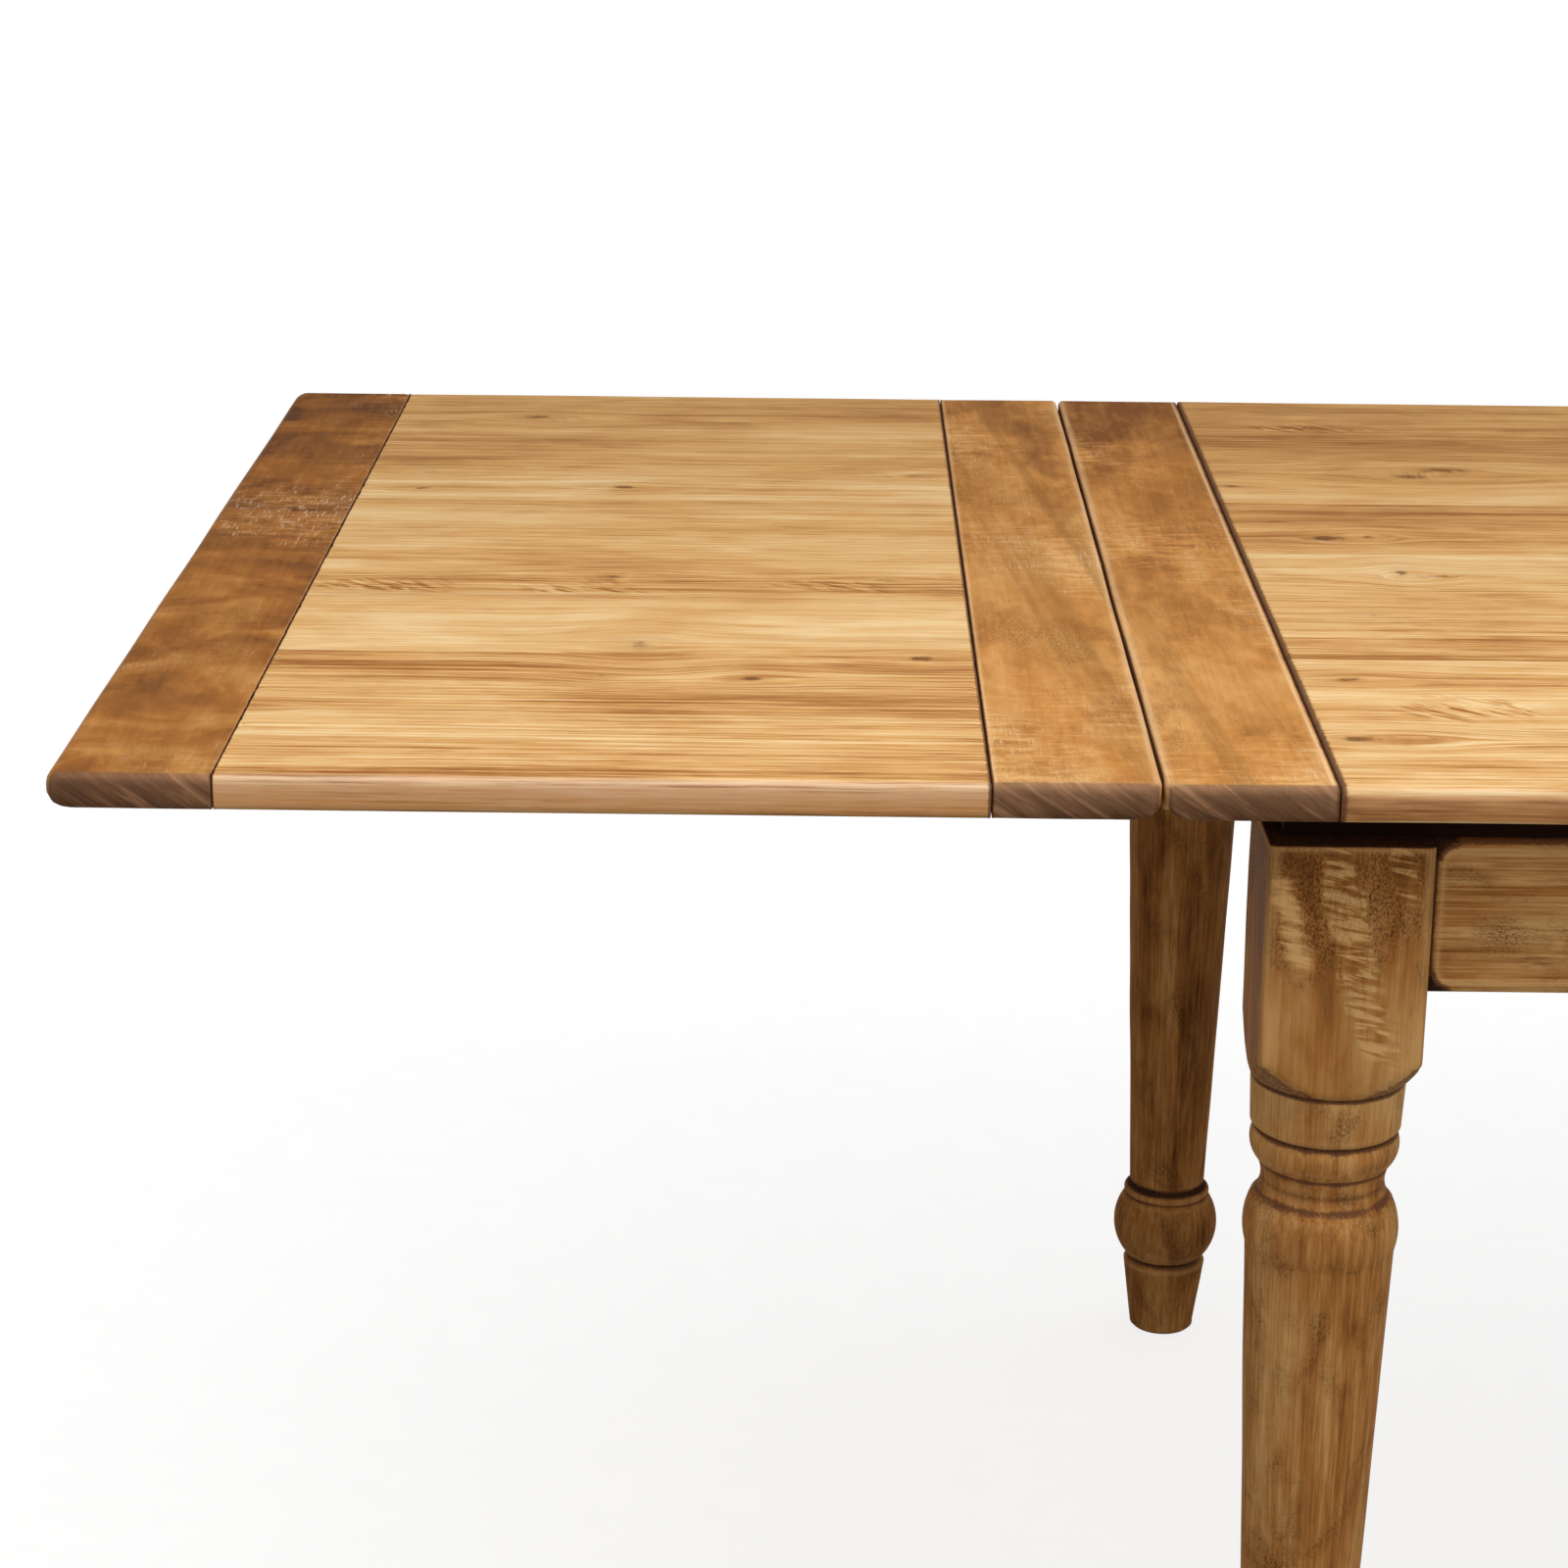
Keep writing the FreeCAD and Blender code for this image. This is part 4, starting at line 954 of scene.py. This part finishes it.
def planed(name, along, shades):
    """Plain planed timber of a carried-over node, with its grain along the given axis."""
    tree = Tree(bpy.data.materials.new(name))
    x, y, z = tree.split(tree.place())
    order = {"x": (x, y, z), "y": (y, x, z), "z": (z, x, y)}[along]
    grain = tree.joined(*order)
    fibre = tree.noise(grain, (14, 520, 520), 4, 0.6)
    line = tree.noise(grain, (2.6, 120, 120), 3, 0.55)
    blotch = tree.noise(grain, (5, 16, 16), 3, 0.55)
    value = tree.add(0.5, tree.swing(line, 0.6), tree.swing(fibre, 0.35), tree.swing(blotch, 0.45))
    base = tree.ramp(value, (0.15, 0.5, 0.85), shades)
    tree.shader.inputs["Specular IOR Level"].default_value = WAX_SHINE
    roughness = tree.add(0.6, tree.swing(fibre, 0.25))
    raised = tree.add(tree.swing(fibre, 0.6), tree.swing(line, 0.5))
    return tree.finish(base, roughness, raised, PLANED_RELIEF)


def plated(name):
    """Zinc-plated steel with a fine turned texture."""
    tree = Tree(bpy.data.materials.new(name))
    fine = tree.noise(tree.place(), (900, 900, 3000), 3, 0.6)
    tarnish = tree.noise(tree.place(), (180, 180, 180), 3, 0.55)
    base = tree.ramp(tarnish, (0.3, 0.6, 0.8), ZINC)
    tree.shader.inputs["Metallic"].default_value = 1
    return tree.finish(base, tree.add(0.3, tree.swing(fine, 0.3)), fine, PLATED_RELIEF)


GOLDEN = (colour(158, 98, 46), colour(225, 172, 106), colour(250, 218, 164))
ORANGE = (colour(132, 79, 32), colour(204, 141, 74), colour(230, 176, 110))
BROWN = (colour(96, 54, 20), colour(168, 107, 50), colour(208, 150, 84))
MOTTLED = (colour(86, 48, 18), colour(182, 121, 62), colour(228, 178, 114))
# near-black timber under the top: dark stain with painted shade
STAINED_AND_SHADED = (colour(24, 12, 6), colour(36, 19, 10), colour(54, 31, 18))
OILED = (colour(92, 58, 30), colour(138, 92, 52), colour(170, 122, 76))
HARDWOOD = (colour(150, 104, 60), colour(190, 146, 96), colour(214, 176, 128))
CLOUDS = (5, 10, 10)
STREAKS = (6, 34, 34)
CROSS_BARS = (16, 8, 8)
MATERIALS = {
    # the boards' rubbed-edge colour is nearly white: wear and a painted highlight on the rounded edges
    "boards": pine("golden_pine", GOLDEN, colour(253, 218, 184), streak=0.75, fine=0.9, band=0.65,
                   cloud=0.7, cloud_size=CLOUDS, mottle=0.25, curl=-0.55, bar_size=(130, 60, 60), lean=1.1,
                   fleck=0.5),
    "breadboard_ends": pine("orange_pine", ORANGE, colour(246, 206, 156), streak=0.5, fine=0.5, band=1.0,
                            cloud=1.2, cloud_size=CLOUDS, mottle=0.5, vein=0.5, speckle=0.65, scrape=0.5),
    "dark_breadboard_ends": pine("brown_pine", BROWN, colour(206, 156, 108), streak=0.4, fine=0.3, band=0.8,
                                 cloud=1.5, cloud_size=CROSS_BARS, mottle=0.45, vein=0.3, speckle=0.45,
                                 scrape=0.85),
    "frame": pine("mottled_pine", MOTTLED, MOTTLED[2], streak=0.9, fine=0.9, band=0.9, cloud=0.9,
                  cloud_size=STREAKS, mottle=0.35, curl=0.55, lean=0.2, speckle=0.9),
    "stained": planed("stained_and_shaded_pine", "x", STAINED_AND_SHADED),
    "across": planed("oiled_pine_across", "y", OILED),
    "runners": planed("oiled_pine", "x", OILED),
    "dowels": planed("hardwood", "x", HARDWOOD),
    "pegs": planed("hardwood_upright", "z", HARDWOOD),
    "screws": plated("plated_steel"),
}


# Dressed pieces

MAIN_SEAM, INNER_SEAM, OUTER_SEAM = 3.0 * MM, 1.6 * MM, 0.7 * MM

# panels: tones, strengths of the lines, mesh step, seams at both ends and darkening of the long edges
PANELS = {
    "main": (MAIN_TONES, MAIN_LINES, MAIN_STEP, (MAIN_SEAM, MAIN_SEAM), 0.32),
    "left_leaf": (LEAF_TONES, LEAF_LINES, BOARD_STEP, (OUTER_SEAM, INNER_SEAM), -0.16),
    "right_leaf": (LEAF_TONES, LEAF_LINES, BOARD_STEP, (INNER_SEAM, OUTER_SEAM), -0.16),
}
seed = 11
for panel, (tones, strengths, step, seams, edge_stain) in PANELS.items():
    for number, (tone, lively) in enumerate(zip(tones, strengths), 1):
        seed += 1
        board(f"{panel}_board_{number}", tone, lively, step, seams, edge_stain, seed)

# kinds of breadboard end: outer edge, seam, corners, slot, and whether it is drilled for dowels
MAIN_END = (GAP_ROUND, MAIN_SEAM, INNER_CORNERS, "breadboard_ends", True)
INNER_END = (GAP_ROUND, INNER_SEAM, INNER_CORNERS, "breadboard_ends", False)
OUTER_END = (BULLNOSE, OUTER_SEAM, OUTER_CORNERS, "dark_breadboard_ends", False)

breadboard("main_end_left", 51, -1, MAIN_END, stain=0.06, painted_falloff=0.24)
breadboard("main_end_right", 52, 1, MAIN_END, stain=0.02, painted_falloff=0.05)
breadboard("left_leaf_inner_end", 53, 1, INNER_END, stain=0.06, painted_falloff=0.01)
breadboard("right_leaf_inner_end", 54, -1, INNER_END, stain=0.0, painted_falloff=0.02)
breadboard("left_leaf_outer_end", 55, -1, OUTER_END, stain=0.06, painted_falloff=0.1)
breadboard("right_leaf_outer_end", 56, 1, OUTER_END, stain=0.04, painted_falloff=0.1)

apron("apron_front", 61, 0, (1, -1))
apron("apron_back", 62, 0, (1, 1))
apron("apron_left", 63, 1, (0, -1))
apron("apron_right", 64, 1, (0, 1))

# the back legs are painted darker: a painted shade
for number, place in enumerate(("front_left", "front_right", "back_right", "back_left")):
    leg("leg_" + place, 71 + number, -0.1 if "back" in place else 0)


# Carried-over nodes: hidden timber, dowels and screws. Replaced nodes take the pine of the boards.

FINISHES = {"bearer": "stained", "guide": "stained", "left_runner": "runners", "right_runner": "runners",
            "cross_rail": "across", "left_leaf_dowels": "dowels", "right_leaf_dowels": "dowels"}

for name, node in frame["nodes"].items():
    node.data.materials.clear()
    if name.endswith("_peg"):
        finish = "pegs"
    elif name.endswith("_screws"):
        finish = "screws"
    else:
        finish = next((kind for start, kind in FINISHES.items() if name.startswith(start)), "boards")
    node.data.materials.append(MATERIALS[finish])


# Studio: white world, pale floor with a shadow, one soft lamp above the near side

AMBIENT = 0.42
AMBIENT_SWING = 0.33
AMBIENT_SIDE = Vector((0.55, -0.75, 0.35)).normalized()
FLOOR_HALF = 30
FLOOR_GLOW = 0.79
FLOOR_SHADES = (colour(172, 172, 171), colour(178, 178, 177))
LAMP_PLACE = Vector((-0.4, -0.75, 2.0))
LAMP_LENGTH = 3.2
LAMP_WIDTH = 1.0
LAMP_POWER = 19


def add_world():
    """White to look at, with a light on the table that is strongest from its near right side."""
    world = bpy.data.worlds.new("studio")
    tree = Tree(world)
    direction = tree.node("TexCoord")["Generated"]
    facing = tree.node("VectorMath", direction, AMBIENT_SIDE, operation="DOT_PRODUCT")["Value"]
    ambient = tree.add(AMBIENT, tree.times(facing, AMBIENT_SWING))
    background = tree.nodes["Background"]
    background.inputs["Color"].default_value = (1, 1, 1, 1)
    tree.feed(background.inputs["Strength"], tree.math("MAXIMUM", ambient, tree.seen_directly()))
    bpy.context.scene.world = world


def add_floor():
    mesh = bpy.data.meshes.new("floor")
    corners = [(x * FLOOR_HALF, y * FLOOR_HALF, 0) for x, y in ((-1, -1), (1, -1), (1, 1), (-1, 1))]
    mesh.from_pydata(corners, [], [(0, 1, 2, 3)])
    tree = Tree(bpy.data.materials.new("floor"))
    grit = tree.noise(tree.place(), (30, 30, 30), 3, 0.5)
    base = tree.ramp(grit, (0.3, 0.7), FLOOR_SHADES)
    glow = tree.times(tree.seen_directly(), FLOOR_GLOW)
    tree.shader.inputs["Emission Color"].default_value = (1, 1, 1, 1)
    tree.shader.inputs["Specular IOR Level"].default_value = 0
    tree.feed(tree.shader.inputs["Base Color"], base)
    tree.feed(tree.shader.inputs["Emission Strength"], glow)
    mesh.materials.append(tree.owner)
    floor = bpy.data.objects.new("floor", mesh)
    bpy.context.scene.collection.objects.link(floor)


def add_lamp():
    """Long soft panel that shines straight down."""
    lamp = bpy.data.objects.new("lamp", bpy.data.lights.new("lamp", "AREA"))
    lamp.data.shape = "RECTANGLE"
    lamp.data.size = LAMP_LENGTH
    lamp.data.size_y = LAMP_WIDTH
    lamp.data.energy = LAMP_POWER
    lamp.location = LAMP_PLACE
    bpy.context.scene.collection.objects.link(lamp)


add_camera()
add_world()
add_floor()
add_lamp()
bpy.context.scene.view_settings.view_transform = "Standard"
